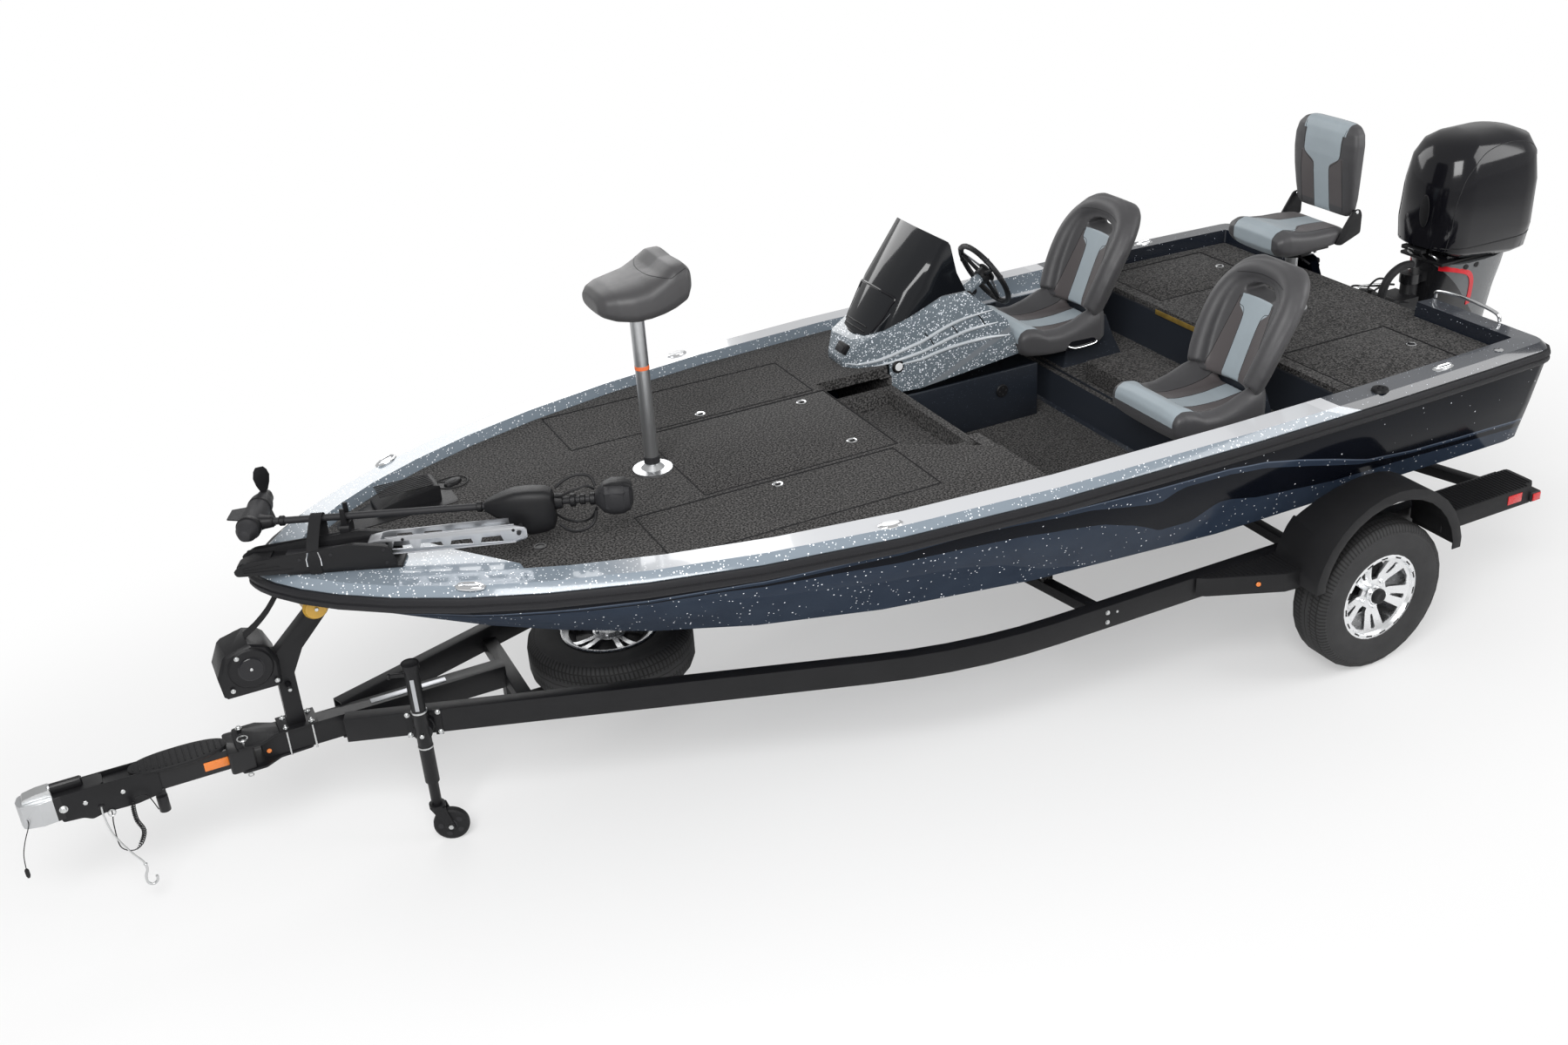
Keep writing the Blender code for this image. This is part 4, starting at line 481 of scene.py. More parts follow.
class Form:
    # gathers shapes into one mesh, each with its own finish
    def __init__(self):
        self.bm = bmesh.new()
        self.finishes = []

    def take(self, bm, paint):
        if paint not in self.finishes:
            self.finishes.append(paint)
        bmesh.ops.recalc_face_normals(bm, faces=bm.faces)
        for face in bm.faces:
            face.material_index = self.finishes.index(paint)
            face.smooth = True
        mesh = bpy.data.meshes.new("part")
        bm.to_mesh(mesh)
        bm.free()
        self.bm.from_mesh(mesh)
        bpy.data.meshes.remove(mesh)
        return self

    def box(self, paint, x, y, z, bevel=0.002, turn=None):
        bm = bmesh.new()
        bmesh.ops.create_cube(bm, size=1.0)
        spans = [sorted(pair) for pair in (x, y, z)]
        bmesh.ops.scale(bm, vec=[high - low for low, high in spans], verts=bm.verts)
        if bevel:
            bmesh.ops.bevel(bm, geom=bm.edges[:], offset=bevel, segments=2, profile=0.5, affect="EDGES")
        if turn is not None:
            bmesh.ops.rotate(bm, cent=(0, 0, 0), matrix=turn, verts=bm.verts)
        centre = at(*[(low + high) / 2 for low, high in spans])
        bmesh.ops.translate(bm, vec=centre, verts=bm.verts)
        return self.take(bm, paint)

    def lathe(self, paint, profile, centre, axis, steps=32, ring=False):
        bm = bmesh.new()
        turn = Vector(axis).to_track_quat("Z", "Y").to_matrix()
        rows = []
        for r, h in profile:
            around = [(0, 0)] if r < 1e-6 else hoop(steps)
            rows.append([bm.verts.new(Vector(centre) + turn @ Vector((r * u, r * v, h))) for u, v in around])
        for a, b in zip(rows, rows[1:] + (rows[:1] if ring else [])):
            for k in range(steps):
                j = (k + 1) % steps
                if len(a) == 1 and len(b) > 1:
                    bm.faces.new((a[0], b[k], b[j]))
                elif len(b) == 1 and len(a) > 1:
                    bm.faces.new((a[k], b[0], a[j]))
                elif len(a) > 1:
                    bm.faces.new((a[k], b[k], b[j], a[j]))
        return self.take(bm, paint)

    def rod(self, paint, a, b, r, tip=None, steps=24, edge=0.0):
        a, b = Vector(a), Vector(b)
        tip = r if tip is None else tip
        high = (b - a).length
        edge = min(edge, r * 0.5, high * 0.4)
        profile = [(0, 0), (r, 0), (tip, high), (0, high)]
        if edge:
            profile[1:3] = [(r - edge, 0), (r, edge), (tip, high - edge), (tip - edge, high)]
        return self.lathe(paint, profile, a, b - a, steps)

    def plate(self, paint, outline, low, high, facing="Z", bevel=0.0):
        bm = bmesh.new()
        place = {"Z": lambda u, v, w: at(u, v, w), "Y": lambda u, v, w: at(u, w, v),
                "X": lambda u, v, w: at(w, u, v)}[facing]
        face = bm.faces.new([bm.verts.new(place(u, v, low)) for u, v in outline])
        grown = bmesh.ops.extrude_face_region(bm, geom=[face])["geom"]
        shift = place(0, 0, high) - place(0, 0, low)
        moved = [v for v in grown if isinstance(v, bmesh.types.BMVert)]
        bmesh.ops.translate(bm, vec=shift, verts=moved)
        bmesh.ops.recalc_face_normals(bm, faces=bm.faces)
        if bevel:
            rims = [e for e in bm.edges if len(e.link_faces) == 2 and e.calc_face_angle() > radians(50)]
            bmesh.ops.bevel(bm, geom=rims, offset=bevel, segments=2, profile=0.5, affect="EDGES")
        return self.take(bm, paint)

    def tube(self, paint, points, r, sides=10, closed=False):
        points = [Vector(p) for p in points]
        bm = bmesh.new()
        count = len(points)
        rows, side = [], None
        for i, point in enumerate(points):
            before = points[i - 1] if closed or i else point
            after = points[(i + 1) % count] if closed or i + 1 < count else point
            ahead = (after - before).normalized()
            if side is None:
                side = ahead.orthogonal().normalized()
            side = (side - ahead * side.dot(ahead)).normalized()
            other = ahead.cross(side)
            wide = r(i / (count - 1)) if callable(r) else r
            rows.append([bm.verts.new(point + (side * u + other * v) * wide) for u, v in hoop(sides)])
        for a, b in zip(rows, rows[1:] + (rows[:1] if closed else [])):
            for k in range(sides):
                j = (k + 1) % sides
                bm.faces.new((a[k], a[j], b[j], b[k]))
        if not closed:
            bm.faces.new(rows[0])
            bm.faces.new(rows[-1][::-1])
        return self.take(bm, paint)

    def loft(self, paint, rings):
        bm = bmesh.new()
        rows = [[bm.verts.new(p) for p in ring] for ring in rings]
        for a, b in zip(rows, rows[1:]):
            for k in range(len(a)):
                j = (k + 1) % len(a)
                bm.faces.new((a[k], a[j], b[j], b[k]))
        bm.faces.new(rows[0])
        bm.faces.new(rows[-1][::-1])
        return self.take(bm, paint)

    def ribbon(self, paint, points, ups, wide, thick):
        # flat strap along points; ups are the directions in which it faces
        rings = []
        points = [Vector(p) for p in points]
        for i, point in enumerate(points):
            run = (points[min(i + 1, len(points) - 1)] - points[max(i - 1, 0)]).normalized()
            face = Vector(ups[i] if isinstance(ups, list) else ups)
            out = run.cross(face).normalized()
            half, rise = out * wide / 2, out.cross(run) * thick / 2
            rings.append([point + half + rise, point - half + rise, point - half - rise, point + half - rise])
        return self.loft(paint, rings)

    def mesh(self, name, angle=35):
        mesh = bpy.data.meshes.new(name)
        self.bm.to_mesh(mesh)
        self.bm.free()
        for paint in self.finishes:
            mesh.materials.append(paint.material)
        mesh.set_sharp_from_angle(angle=radians(angle))
        return mesh

    def piece(self, name, body=root, replaces=()):
        obj = linked(name, self.mesh(name))
        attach(obj, body)
        if replaces:
            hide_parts(*replaces)
        return obj


def applied(obj):
    # the object's mesh with its modifiers worked in
    bpy.context.view_layer.update()
    ready = obj.evaluated_get(bpy.context.evaluated_depsgraph_get())
    mesh = bpy.data.meshes.new_from_object(ready)
    obj.modifiers.clear()
    obj.data = mesh
    return obj


def padded(name, form, paint, body, replaces, voxel, rounds, cuts=None):
    # foam and vinyl: shapes run together, rounded over, and shaded smooth
    obj = linked(name, form.mesh(name))
    obj.data.materials.clear()
    if cuts is not None:
        joined = obj.modifiers.new("joined", "REMESH")
        joined.mode, joined.voxel_size = "VOXEL", voxel
        applied(obj)
        tool = linked("tool", cuts.mesh("tool"))
        hollow = obj.modifiers.new("hollow", "BOOLEAN")
        hollow.object, hollow.operation, hollow.solver = tool, "DIFFERENCE", "EXACT"
        applied(obj)
        bpy.data.objects.remove(tool)
    remesh = obj.modifiers.new("remesh", "REMESH")
    remesh.mode, remesh.voxel_size = "VOXEL", voxel
    relax = obj.modifiers.new("relax", "SMOOTH")
    relax.factor, relax.iterations = 0.5, rounds
    applied(obj)
    obj.data.materials.clear()
    obj.data.materials.append(paint.material)
    obj.data.shade_smooth()
    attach(obj, body)
    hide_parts(replaces)
    return obj


def draped(obj, points, direction, lift=0.0):
    # points moved along a direction until they meet the surface of an object or of a named node
    obj = nodes[obj] if isinstance(obj, str) else obj
    tree = BVHTree.FromPolygons([obj.matrix_world @ v.co for v in obj.data.vertices],
            [tuple(p.vertices) for p in obj.data.polygons])
    direction = Vector(direction).normalized()
    met = []
    for point in points:
        where = tree.ray_cast(Vector(point) - direction * 0.6, direction)[0]
        if where is not None:
            met.append(where - direction * lift)
    return met


def seamed(form, target, points, direction, r=0.0014, each=8):
    # a seam laid on the vinyl, sunk a little into it
    path = catmull(points, each) if each else points
    form.tube(satinBlack, draped(target, path, direction, -0.0004), r, 6)


# helm and passenger seats: buckets with side wings, a slot under the head and a pale insert
bucket = {"sides": {"port": 0.6, "starboard": -0.6}, "voxel": 0.0065,
        # back: height, place, half width, thickness, wing
        "back": [(1.3, 1.395, 0.22, 0.05, 0.085), (1.34, 1.38, 0.24, 0.054, 0.098),
        (1.4, 1.352, 0.254, 0.058, 0.106), (1.48, 1.318, 0.264, 0.06, 0.104),
        (1.56, 1.284, 0.269, 0.06, 0.092), (1.63, 1.254, 0.267, 0.06, 0.074),
        (1.69, 1.228, 0.254, 0.06, 0.054), (1.74, 1.206, 0.23, 0.06, 0.034),
        (1.775, 1.189, 0.2, 0.056, 0.018), (1.8, 1.176, 0.16, 0.044, 0.006),
        (1.812, 1.17, 0.12, 0.03, 0.0)], "bolster": [(0.188, 1.466, 1.345), (0.206, 1.42, 1.46),
        (0.212, 1.366, 1.57), (0.204, 1.312, 1.655), (0.168, 1.262, 1.722), (0.095, 1.232, 1.762),
        (0.0, 1.224, 1.772)],
        # cushion: place, half width, underside, top in the middle, top at the sides
        "cushion": [(1.392, 0.205, 1.175, 1.262, 1.372), (1.44, 0.24, 1.17, 1.258, 1.384),
        (1.52, 0.252, 1.168, 1.25, 1.362), (1.6, 0.254, 1.168, 1.25, 1.322),
        (1.68, 0.254, 1.168, 1.256, 1.3), (1.75, 0.253, 1.168, 1.272, 1.304),
        (1.81, 0.25, 1.17, 1.322, 1.334), (1.86, 0.245, 1.176, 1.342, 1.342),
        (1.893, 0.236, 1.198, 1.326, 1.326), (1.908, 0.222, 1.228, 1.296, 1.296)],
        "backSeams": ([(0.096, 1.655), (0.096, 1.62), (0.056, 1.58), (0.054, 1.345)],
        [(0.144, 1.345), (0.129, 1.47), (0.113, 1.6), (0.107, 1.655)]), "panSeams": (0.055, 0.135)}


def bucketPaint(name, seatY):
    paint = vinyl(name)
    x, y, z = paint.parts()
    x = x - sternX
    off = abs(y - seatY)
    # back: pale stripe that widens under the slot, warm panels beside it
    facing = paint.normals()[0] > -0.15
    inBack = (z > 1.335) * (x < 1.46 - (z - 1.335) * 0.3)
    half = (z.ramp(1.575, 1.625)) * 0.042 + 0.054
    paleBack = (off < half) * (z < 1.664) * inBack
    warmBack = (off < 0.145 - (z - 1.34) * 0.12) * (z < 1.645) * inBack
    # pan: pale stripe up to the pale front roll
    onPan = (z > 1.2) * (1 - inBack)
    palePan = (off < 0.055) * (z > 1.235) * (x < 1.8) * onPan
    roll = (x > 1.795) * (off < 0.205) * (z > 1.262) * onPan
    warmPan = (off < 0.135) * (x < 1.8) * (z > 1.235) * onPan
    tone = paint.mix((warmBack * facing).most(warmPan), charcoal, warmVinyl)
    tone = paint.mix((paleBack * facing).most(palePan).most(roll), tone, paleVinyl)
    return paint.feed("Base Color", paint.mix(paint.noise(8.0, 4.0) * 0.2, tone, (0.05, 0.05, 0.052)))


for sideName, seatY in bucket["sides"].items():
    paint = bucketPaint("bucketVinyl_" + sideName, seatY)
    shell, rings = Form(), []
    for z, x, half, thick, wing in bucket["back"]:
        rings.append([])
        for u, v in hoop(44, 0.72, 0.85):
            edge = abs(u)
            deep = thick * (0.72 + 0.55 * edge ** 2 * (1 - edge ** 8)) if v > 0 else thick
            rings[-1].append(at(x + v * deep + wing * edge ** 2.6, seatY + half * u, z + v * deep * 0.42))
    shell.loft(paint, rings)
    horseshoe = bucket["bolster"] + [(-y, x, z) for y, x, z in reversed(bucket["bolster"][:-1])]
    shell.tube(paint, catmull([at(x, seatY + y, z) for y, x, z in horseshoe], 6), 0.047, 16)
    slot = Form()
    slot.plate(paint, [(seatY + 0.098 * power(u, 0.8), 1.694 + 0.028 * v - 0.012 * u ** 2)
            for u, v in hoop(20)], 1.05, 1.45, "X")
    back = padded("bucket_back_" + sideName, shell, paint, root, "seat_back_" + sideName, bucket["voxel"],
            8, slot)
    base, rings = Form(), []
    for x, half, low, pan, arm in bucket["cushion"]:
        middle = (low + min(pan, arm)) / 2
        rings.append([])
        for u, v in hoop(48, 0.62, 1.0):
            top = pan + (arm - pan) * min(1, max(0, (abs(u) - 0.5) / 0.26)) ** 1.2
            lift = (top - middle) * power(v, 0.42) if v > 0 else (middle - low) * power(v, 0.35)
            rings[-1].append(at(x, seatY + half * u, middle + lift))
    base.loft(paint, rings)
    cushion = padded("bucket_cushion_" + sideName, base, paint, root, "seat_cushion_" + sideName,
            bucket["voxel"], 7)
    seams = Form()
    for line in bucket["backSeams"]:
        for flip in (1, -1):
            seamed(seams, back, [at(1.9, seatY + y * flip, z) for y, z in line], (-1, 0, 0))
    head = [at(1.9, seatY + 0.15 * t, 1.748 + 0.018 * (1 - t * t)) for t in [k / 8 - 1 for k in range(17)]]
    seamed(seams, back, head, (-1, 0, 0), each=0)
    for flip in (1, -1):
        for y in bucket["panSeams"]:
            line = [at(x, seatY + y * flip, 1.9) for x in (1.4, 1.6, 1.78)]
            seamed(seams, cushion, line, (0, 0, -1), each=10)
    roll = [at(1.795, seatY + 0.2 * (k / 12 - 1), 1.9) for k in range(25)]
    seamed(seams, cushion, roll, (0, 0, -1), 0.0016, 0)
    seams.piece("bucket_seams_" + sideName)
    # grip bar in a black plate on each side
    grip = Form()
    outline = roundedOutline([(1.46, 1.182), (1.66, 1.182), (1.63, 1.228), (1.49, 1.222)], 0.015)
    for flip in (1, -1):
        y = seatY + flip * 0.252
        grip.plate(glossBlack, outline, y - 0.004, y + 0.0035, "Y", 0.001)
        bar = [at(x, y + flip * off, z) for x, off, z in ((1.475, 0.004, 1.2), (1.5, 0.009, 1.192),
                (1.6, 0.009, 1.19), (1.645, 0.004, 1.205))]
        grip.tube(chrome, catmull(bar, 6), 0.004, 10)
    grip.piece("bucket_grip_" + sideName)
print("bucket seats")

# chair at the stern, with a folding back, and the saddle on the bow post
chairSet = {"voxel": 0.006, "rounds": 6,
        # place, half width, underside, top
        "pan": [(0.408, 0.175, 1.64, 1.715), (0.44, 0.196, 1.628, 1.728), (0.52, 0.206, 1.622, 1.735),
        (0.62, 0.21, 1.618, 1.74), (0.7, 0.21, 1.612, 1.752), (0.765, 0.206, 1.614, 1.764),
        (0.805, 0.196, 1.632, 1.752), (0.828, 0.176, 1.665, 1.726)],
        # height, place, half width, thickness
        "rest": [(1.756, 0.374, 0.16, 0.024), (1.778, 0.376, 0.184, 0.03), (1.85, 0.38, 0.198, 0.036),
        (1.95, 0.388, 0.208, 0.042), (2.04, 0.391, 0.213, 0.046), (2.11, 0.388, 0.212, 0.047),
        (2.158, 0.382, 0.2, 0.045), (2.188, 0.376, 0.172, 0.036), (2.2, 0.372, 0.136, 0.022)],
        "side": [(0.347, 1.682), (0.462, 1.64), (0.5, 1.65), (0.47, 1.7), (0.402, 1.798), (0.362, 1.803),
        (0.347, 1.775)], "panSeams": ([(0.41, 0.155), (0.6, 0.158), (0.69, 0.15), (0.74, 0.136)],
        [(0.41, 0.06), (0.58, 0.06), (0.66, 0.11), (0.74, 0.136), (0.825, 0.136)]),
        "restSeams": ([(0.052, 1.775), (0.052, 1.94), (0.058, 1.985), (0.116, 2.035), (0.126, 2.12),
        (0.134, 2.175)], [(0.14, 1.775), (0.14, 1.93), (0.134, 2.035)])}
saddleSet = {"tone": (0.048, 0.047, 0.049), "postX": 4.0,
        # place, half width, underside, top
        "rows": [(3.806, 0.15, 2.085, 2.215),
        (3.83, 0.18, 2.045, 2.244), (3.88, 0.189, 2.022, 2.244), (3.93, 0.19, 2.01, 2.21),
        (3.99, 0.188, 2.004, 2.17), (4.06, 0.178, 2.004, 2.158), (4.12, 0.156, 2.016, 2.152),
        (4.165, 0.126, 2.036, 2.138), (4.19, 0.09, 2.06, 2.115)],
        "seam": ((3.815, -0.155), (3.905, -0.176), (3.955, -0.09), (3.965, 0.0), (3.955, 0.09),
        (3.905, 0.176), (3.815, 0.155))}


def chairPaint(name, onBack):
    paint = vinyl(name)
    x, y, z = paint.parts()
    x = x - sternX
    off = abs(y)
    if onBack:
        facing = paint.normals()[0] > -0.15
        half = z.ramp(1.985, 2.045) * 0.068 + 0.052
        pale = (off < half).most((z > 2.145) * (off < 0.14)) * facing
        warm = (off < 0.14) * (z < 2.04) * (z > 1.8) * facing
    else:
        pale = (off < 0.06 + x.ramp(0.6, 0.7) * 0.075) * (z > 1.6)
        warm = (off < 0.155) * (x < 0.68) * (z > 1.7)
    tone = paint.mix(pale, paint.mix(warm, charcoal, warmVinyl), paleVinyl)
    return paint.feed("Base Color", paint.mix(paint.noise(8.0, 4.0) * 0.25, tone, (0.05, 0.05, 0.052)))


def cushioned(rows, p, q, dip, steep, before):
    # a pad from rows along x, dished ahead of or behind a place
    form, rings = Form(), []
    for x, half, low, high in rows:
        rings.append([])
        for u, v in hoop(40, p, q):
            dish = dip * (1 - abs(u) ** steep) if v > 0 and x < before else 0
            rings[-1].append(at(x, half * u, (low + high) / 2 + (high - low) / 2 * v + dish))
    return form.loft(satinBlack, rings)


chairPad = padded("chair_pad", cushioned(chairSet["pan"], 0.66, 0.55, -0.012, 2, 0.72),
        chairPaint("chairVinyl", False), "chair", "chair_seat", chairSet["voxel"], chairSet["rounds"])
chairRest, rings = Form(), []
for z, x, half, thick in chairSet["rest"]:
    rings.append([at(x + thick * v + (0.008 * abs(u) ** 2 if v > 0 else 0), half * u, z)
            for u, v in hoop(40, 0.62, 0.6)])
chairBack = padded("chair_backrest", chairRest.loft(satinBlack, rings), chairPaint("chairBackVinyl", True),
        "chair_back", "chair_back", chairSet["voxel"], chairSet["rounds"])
frameParts = Form()
for y in (-0.207, 0.207):
    frameParts.plate(satinBlack, roundedOutline(chairSet["side"], 0.012), y - 0.006, y + 0.006, "Y", 0.002)
    frameParts.rod(chrome, at(0.38, y - 0.009, 1.79), at(0.38, y + 0.009, 1.79), 0.009, edge=0.002)
frameParts.rod(satinBlack, at(0.38, -0.205, 1.79), at(0.38, 0.205, 1.79), 0.007)
frameParts.box(satinBlack, (0.45, 0.69), (-0.12, 0.12), (1.6, 1.622), 0.004)
frameParts.lathe(satinBlack, [(0, 0.0), (0.085, 0.0), (0.09, 0.006), (0.088, 0.024), (0.05, 0.036),
        (0, 0.036)], at(0.57, 0, 1.5705), skyward, 36)
lever = catmull([at(0.6, 0.05, 1.596), at(0.62, 0.12, 1.585), at(0.6, 0.16, 1.56)], 6)
frameParts.tube(satinBlack, lever, 0.005)
frameParts.piece("chair_frame", "chair")
chairSeams, restSeams = Form(), Form()
for flip in (1, -1):
    for line in chairSet["panSeams"]:
        seamed(chairSeams, chairPad, [at(x, y * flip, 1.9) for x, y in line], (0, 0, -1), 0.0013)
    for line in chairSet["restSeams"]:
        seamed(restSeams, chairBack, [at(1.0, y * flip, z) for y, z in line], (-1, 0, 0), 0.0013)
chairSeams.piece("chair_seams", "chair")
restSeams.piece("chair_back_seams", "chair_back")

saddlePad = padded("bow_saddle", cushioned(saddleSet["rows"], 0.72, 0.62, -0.03, 1.6, 3.95),
        vinyl("saddleVinyl", saddleSet["tone"]), "bow_seat", "bow_seat", chairSet["voxel"],
        chairSet["rounds"])
saddleTrim = Form()
seamed(saddleTrim, saddlePad, [at(x, y, 2.6) for x, y in saddleSet["seam"]], (0, 0, -1))
saddleTrim.lathe(satinBlack, [(0, 0.0), (0.06, 0.0), (0.072, 0.006), (0.07, 0.03), (0, 0.03)],
        at(saddleSet["postX"], 0, 1.9855), skyward, 32)
saddleTrim.piece("bow_saddle_base", "bow_seat")
postTrim = Form()
for paint, rise, high, far, lip in ((orangeBand, 1.76, 0.017, 0.0312, 0.001),
        (darkGrey, 1.335, 0.032, 0.034, 0.002)):
    postTrim.lathe(paint, [(0.0302, 0.0), (far, lip), (far, high - lip), (0.0302, high)],
            at(saddleSet["postX"], 0, rise), skyward, 32)
postTrim.piece("bow_post_bands")
print("chairs")

# cords, each a tube along its route
cordRoutes = {"lead": [(6.233, 0.068, 0.43), (6.262, 0.07, 0.512), (6.312, 0.07, 0.505),
        (6.322, 0.068, 0.42), (6.308, 0.064, 0.345), (6.352, 0.06, 0.275), (6.405, 0.052, 0.3),
        (6.408, 0.026, 0.39), (6.401, 0.0201, 0.44), (6.4, 0.02, 0.479)],
        "safety": [(6.43, 0.0567, 0.512), (6.431, 0.058, 0.47), (6.418, 0.066, 0.38), (6.375, 0.082, 0.285),
        (6.345, 0.082, 0.23), (6.337, 0.082, 0.205)], "breakaway": [(6.69, 0.055, 0.548),
        (6.694, 0.055, 0.52), (6.722, 0.056, 0.46), (6.742, 0.056, 0.4), (6.75, 0.056, 0.335)],
        "hook": [(6.337, 0.082, 0.2045), (6.336, 0.082, 0.18), (6.348, 0.082, 0.15), (6.346, 0.082, 0.118),
        (6.328, 0.082, 0.105), (6.31, 0.082, 0.118), (6.309, 0.082, 0.14)],
        "puck": [(4.8, -0.37, 1.3045), (4.835, -0.385, 1.3042), (4.85, -0.345, 1.3042),
        (4.81, -0.3, 1.3042), (4.745, -0.3, 1.3042), (4.712, -0.345, 1.3042), (4.73, -0.395, 1.3042),
        (4.79, -0.405, 1.3042), (4.87, -0.375, 1.3042), (4.905, -0.3, 1.3042), (4.93, -0.27, 1.3042)],
        "hose": [(0.078, 0.125, 1.222), (0.07, 0.128, 1.3), (0.04, 0.128, 1.362), (-0.02, 0.12, 1.394),
        (-0.085, 0.105, 1.398), (-0.145, 0.09, 1.388)]}
curl = {"r": 0.0024, "turn": 0.0076, "pitch": 0.01, "from": 0.2, "to": 0.62, "steps": 10, "fade": 0.06}


def route(name, each):
    return catmull([at(*place) for place in cordRoutes[name]], each)


def cordTube(name, points, r, body, paint=cableBlack,
        steps=8, replaces=(), bend=None):
    form = Form()
    form.tube(paint, points, r, steps)
    obj = linked(name, form.mesh(name, 60))
    if bend:
        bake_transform(obj)
    else:
        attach(obj, body)
    if replaces:
        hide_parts(*replaces)
    length = sum((b - a).length for a, b in zip(points, points[1:]))
    2 * r


# the lamps' curled lead: turns wound along its route between two shares of its length
line = route("lead", 24)
reach = [0.0]
for a, b in zip(line, line[1:]):
    reach.append(reach[-1] + (b - a).length)
coils, side, j = [], None, 0
stepLong = curl["pitch"] / curl["steps"]
for n in range(int(reach[-1] / stepLong) + 1):
    s = min(n * stepLong, reach[-1] - 1e-6)
    while reach[j + 1] < s:
        j += 1
    a, b = line[j], line[j + 1]
    centre = a.lerp(b, (s - reach[j]) / (reach[j + 1] - reach[j]))
    ahead = (b - a).normalized()
    side = ahead.orthogonal() if side is None else side - ahead * side.dot(ahead)
    side.normalize()
    t = s / reach[-1]
    swelling, sinking = (t - curl["from"]) / curl["fade"], (curl["to"] - t) / curl["fade"]
    swell = min(1, max(0, swelling)) * min(1, max(0, sinking))
    turn = 2 * pi * s / curl["pitch"]
    if swell <= 0 and n % curl["steps"]:
        continue
    coils.append(centre + (side * cos(turn) + ahead.cross(side) * sin(turn)) * curl["turn"] * swell)
cordTube("curled_lead", coils, curl["r"], "tongue_end", steps=6, replaces=["curly_cord"])
hookForm = Form()
hookForm.tube(steel, route("hook", 6), 0.0055, 12)
hookForm.rod(steel, at(6.337, 0.082, 0.212), at(6.337, 0.082, 0.2045), 0.0075, edge=0.001)
hookObj = hookForm.piece("safety_hook", "tongue_end", ["cable_hook"])
cordTube("safety_line", route("safety", 8), 0.0038, "tongue_end", paint=steel,
        replaces=["safety_cable"])
plug = Form()
plug.lathe(cableBlack, [(0, 0.0), (0.006, 0.0), (0.0085, 0.006), (0.0085, 0.03), (0.005, 0.04), (0, 0.04)],
        at(6.75, 0.056, 0.335), -skyward, 20)
plugObj = plug.piece("breakaway_clip", "tongue_end")
cordTube("breakaway_line", route("breakaway", 8), 0.0019, "tongue_end",
        replaces=["breakaway_cable"])
print("cords")

# tyres: tread grooves and sidewall rings from the distance to the axle; the grooves are painted near black as
# painted shade
# slots of the lip: turns from each spoke, inner and outer distance, half angle
wheelSet = {"x": 1.03, "y": 1.1625, "z": 0.365, "r": 0.365, "nutR": 0.066, "slots": (-0.2, 0.2, 0.628),
        "slotR": (0.1965, 0.2035), "slotHalf": 0.085, "spare": at(4.28, 0, 0.517)}


def tyrePaint(name, centre, upright=True):
    paint = Paint(name, (0.017, 0.017, 0.018), 0.72)
    x, y, z = paint.parts()
    dx, dy, dz = x - centre.x, y - centre.y, z - centre.z
    across, other = (dy, dz) if upright else (dz, dy)
    r = wheelSet["r"]
    far = (dx * dx + other * other) ** 0.5

    def wave(angle):
        return paint.node("Math", {"operation": "SINE"}, [angle])

    turn = paint.node("Math", {"operation": "ARCTAN2"}, [other, dx])
    onTread = far.ramp(r - 0.04, r - 0.03)
    blocks = (wave(turn * 115.0 + across * 60.0) > -0.35).most(abs(across) < 0.02)
    tread = (abs(wave(across * 92.0)) > 0.26) * blocks
    wall = ((far > r - 0.06) * (far < r - 0.02)) * (wave(far * 520.0) > 0.2)
    band = (far > r - 0.105) * (far < r - 0.08)
    paint.bump(tread * onTread + wall * (1 - onTread) * 0.25 + paint.noise(220.0) * 0.06 + band * 0.12, 0.006)
    walls = paint.mix(paint.noise(12.0, 4.0), (0.012, 0.012, 0.013), (0.034, 0.034, 0.035))
    # the grooves between the tread blocks are painted near black: painted shade in the grooves
    return paint.feed("Base Color", paint.mix((1 - tread) * onTread, walls, (0.003, 0.003, 0.003)))


for sideName, side in handed:
    hub = at(wheelSet["x"], side * wheelSet["y"], wheelSet["z"])
    dress("tyre_" + sideName, tyrePaint("tyre_" + sideName, hub), 60)
    out = leftward * side
    trim = Form()
    face = lambda r, a, h: hub + Vector((r * cos(a), 0, r * sin(a))) + out * h
    trim.lathe(satinBlack, [(0, 0.058), (0.036, 0.058), (0.037, 0.078), (0.034, 0.086), (0.026, 0.089),
            (0.014, 0.086), (0, 0.086)], hub, out, 36)
    trim.lathe(wheelChrome, [(0.0372, 0.058), (0.043, 0.058), (0.042, 0.066), (0.0372, 0.068)], hub, out, 36)
    trim.lathe(satinBlack, [(0, -0.05), (0.15, -0.05), (0.15, -0.04), (0, -0.04)], hub, out, 40)
    for n in range(5):
        a = 2 * pi * n / 5 + pi / 2 + pi / 5
        trim.rod(wheelChrome, face(wheelSet["nutR"], a, 0.038), face(wheelSet["nutR"], a, 0.06), 0.0105,
                0.008, 12, 0.002)
        # the groove down each spoke and the slots in the lip, drawn as satin-black rods and plates: painted
        # shade in the groove and the slots
        trim.rod(satinBlack, face(0.118, a, 0.0475), face(0.158, a, 0.0605), 0.0024, steps=8)
        (near, lip), half = wheelSet["slotR"], wheelSet["slotHalf"]
        outline = ((near, -half), (lip, -half), (lip, half), (near, half))
        for swing in wheelSet["slots"]:
            slot = [[face(r, a + swing + w, h) for r, w in outline] for h in (0.0845, 0.0868)]
            trim.loft(satinBlack, slot)
    valve = 0.35 if side > 0 else 2.8
    trim.rod(satinBlack, face(0.15, valve, 0.02), face(0.186, valve, 0.072), 0.004, steps=8)
    trim.piece("wheel_trim_" + sideName, "wheel_" + sideName)

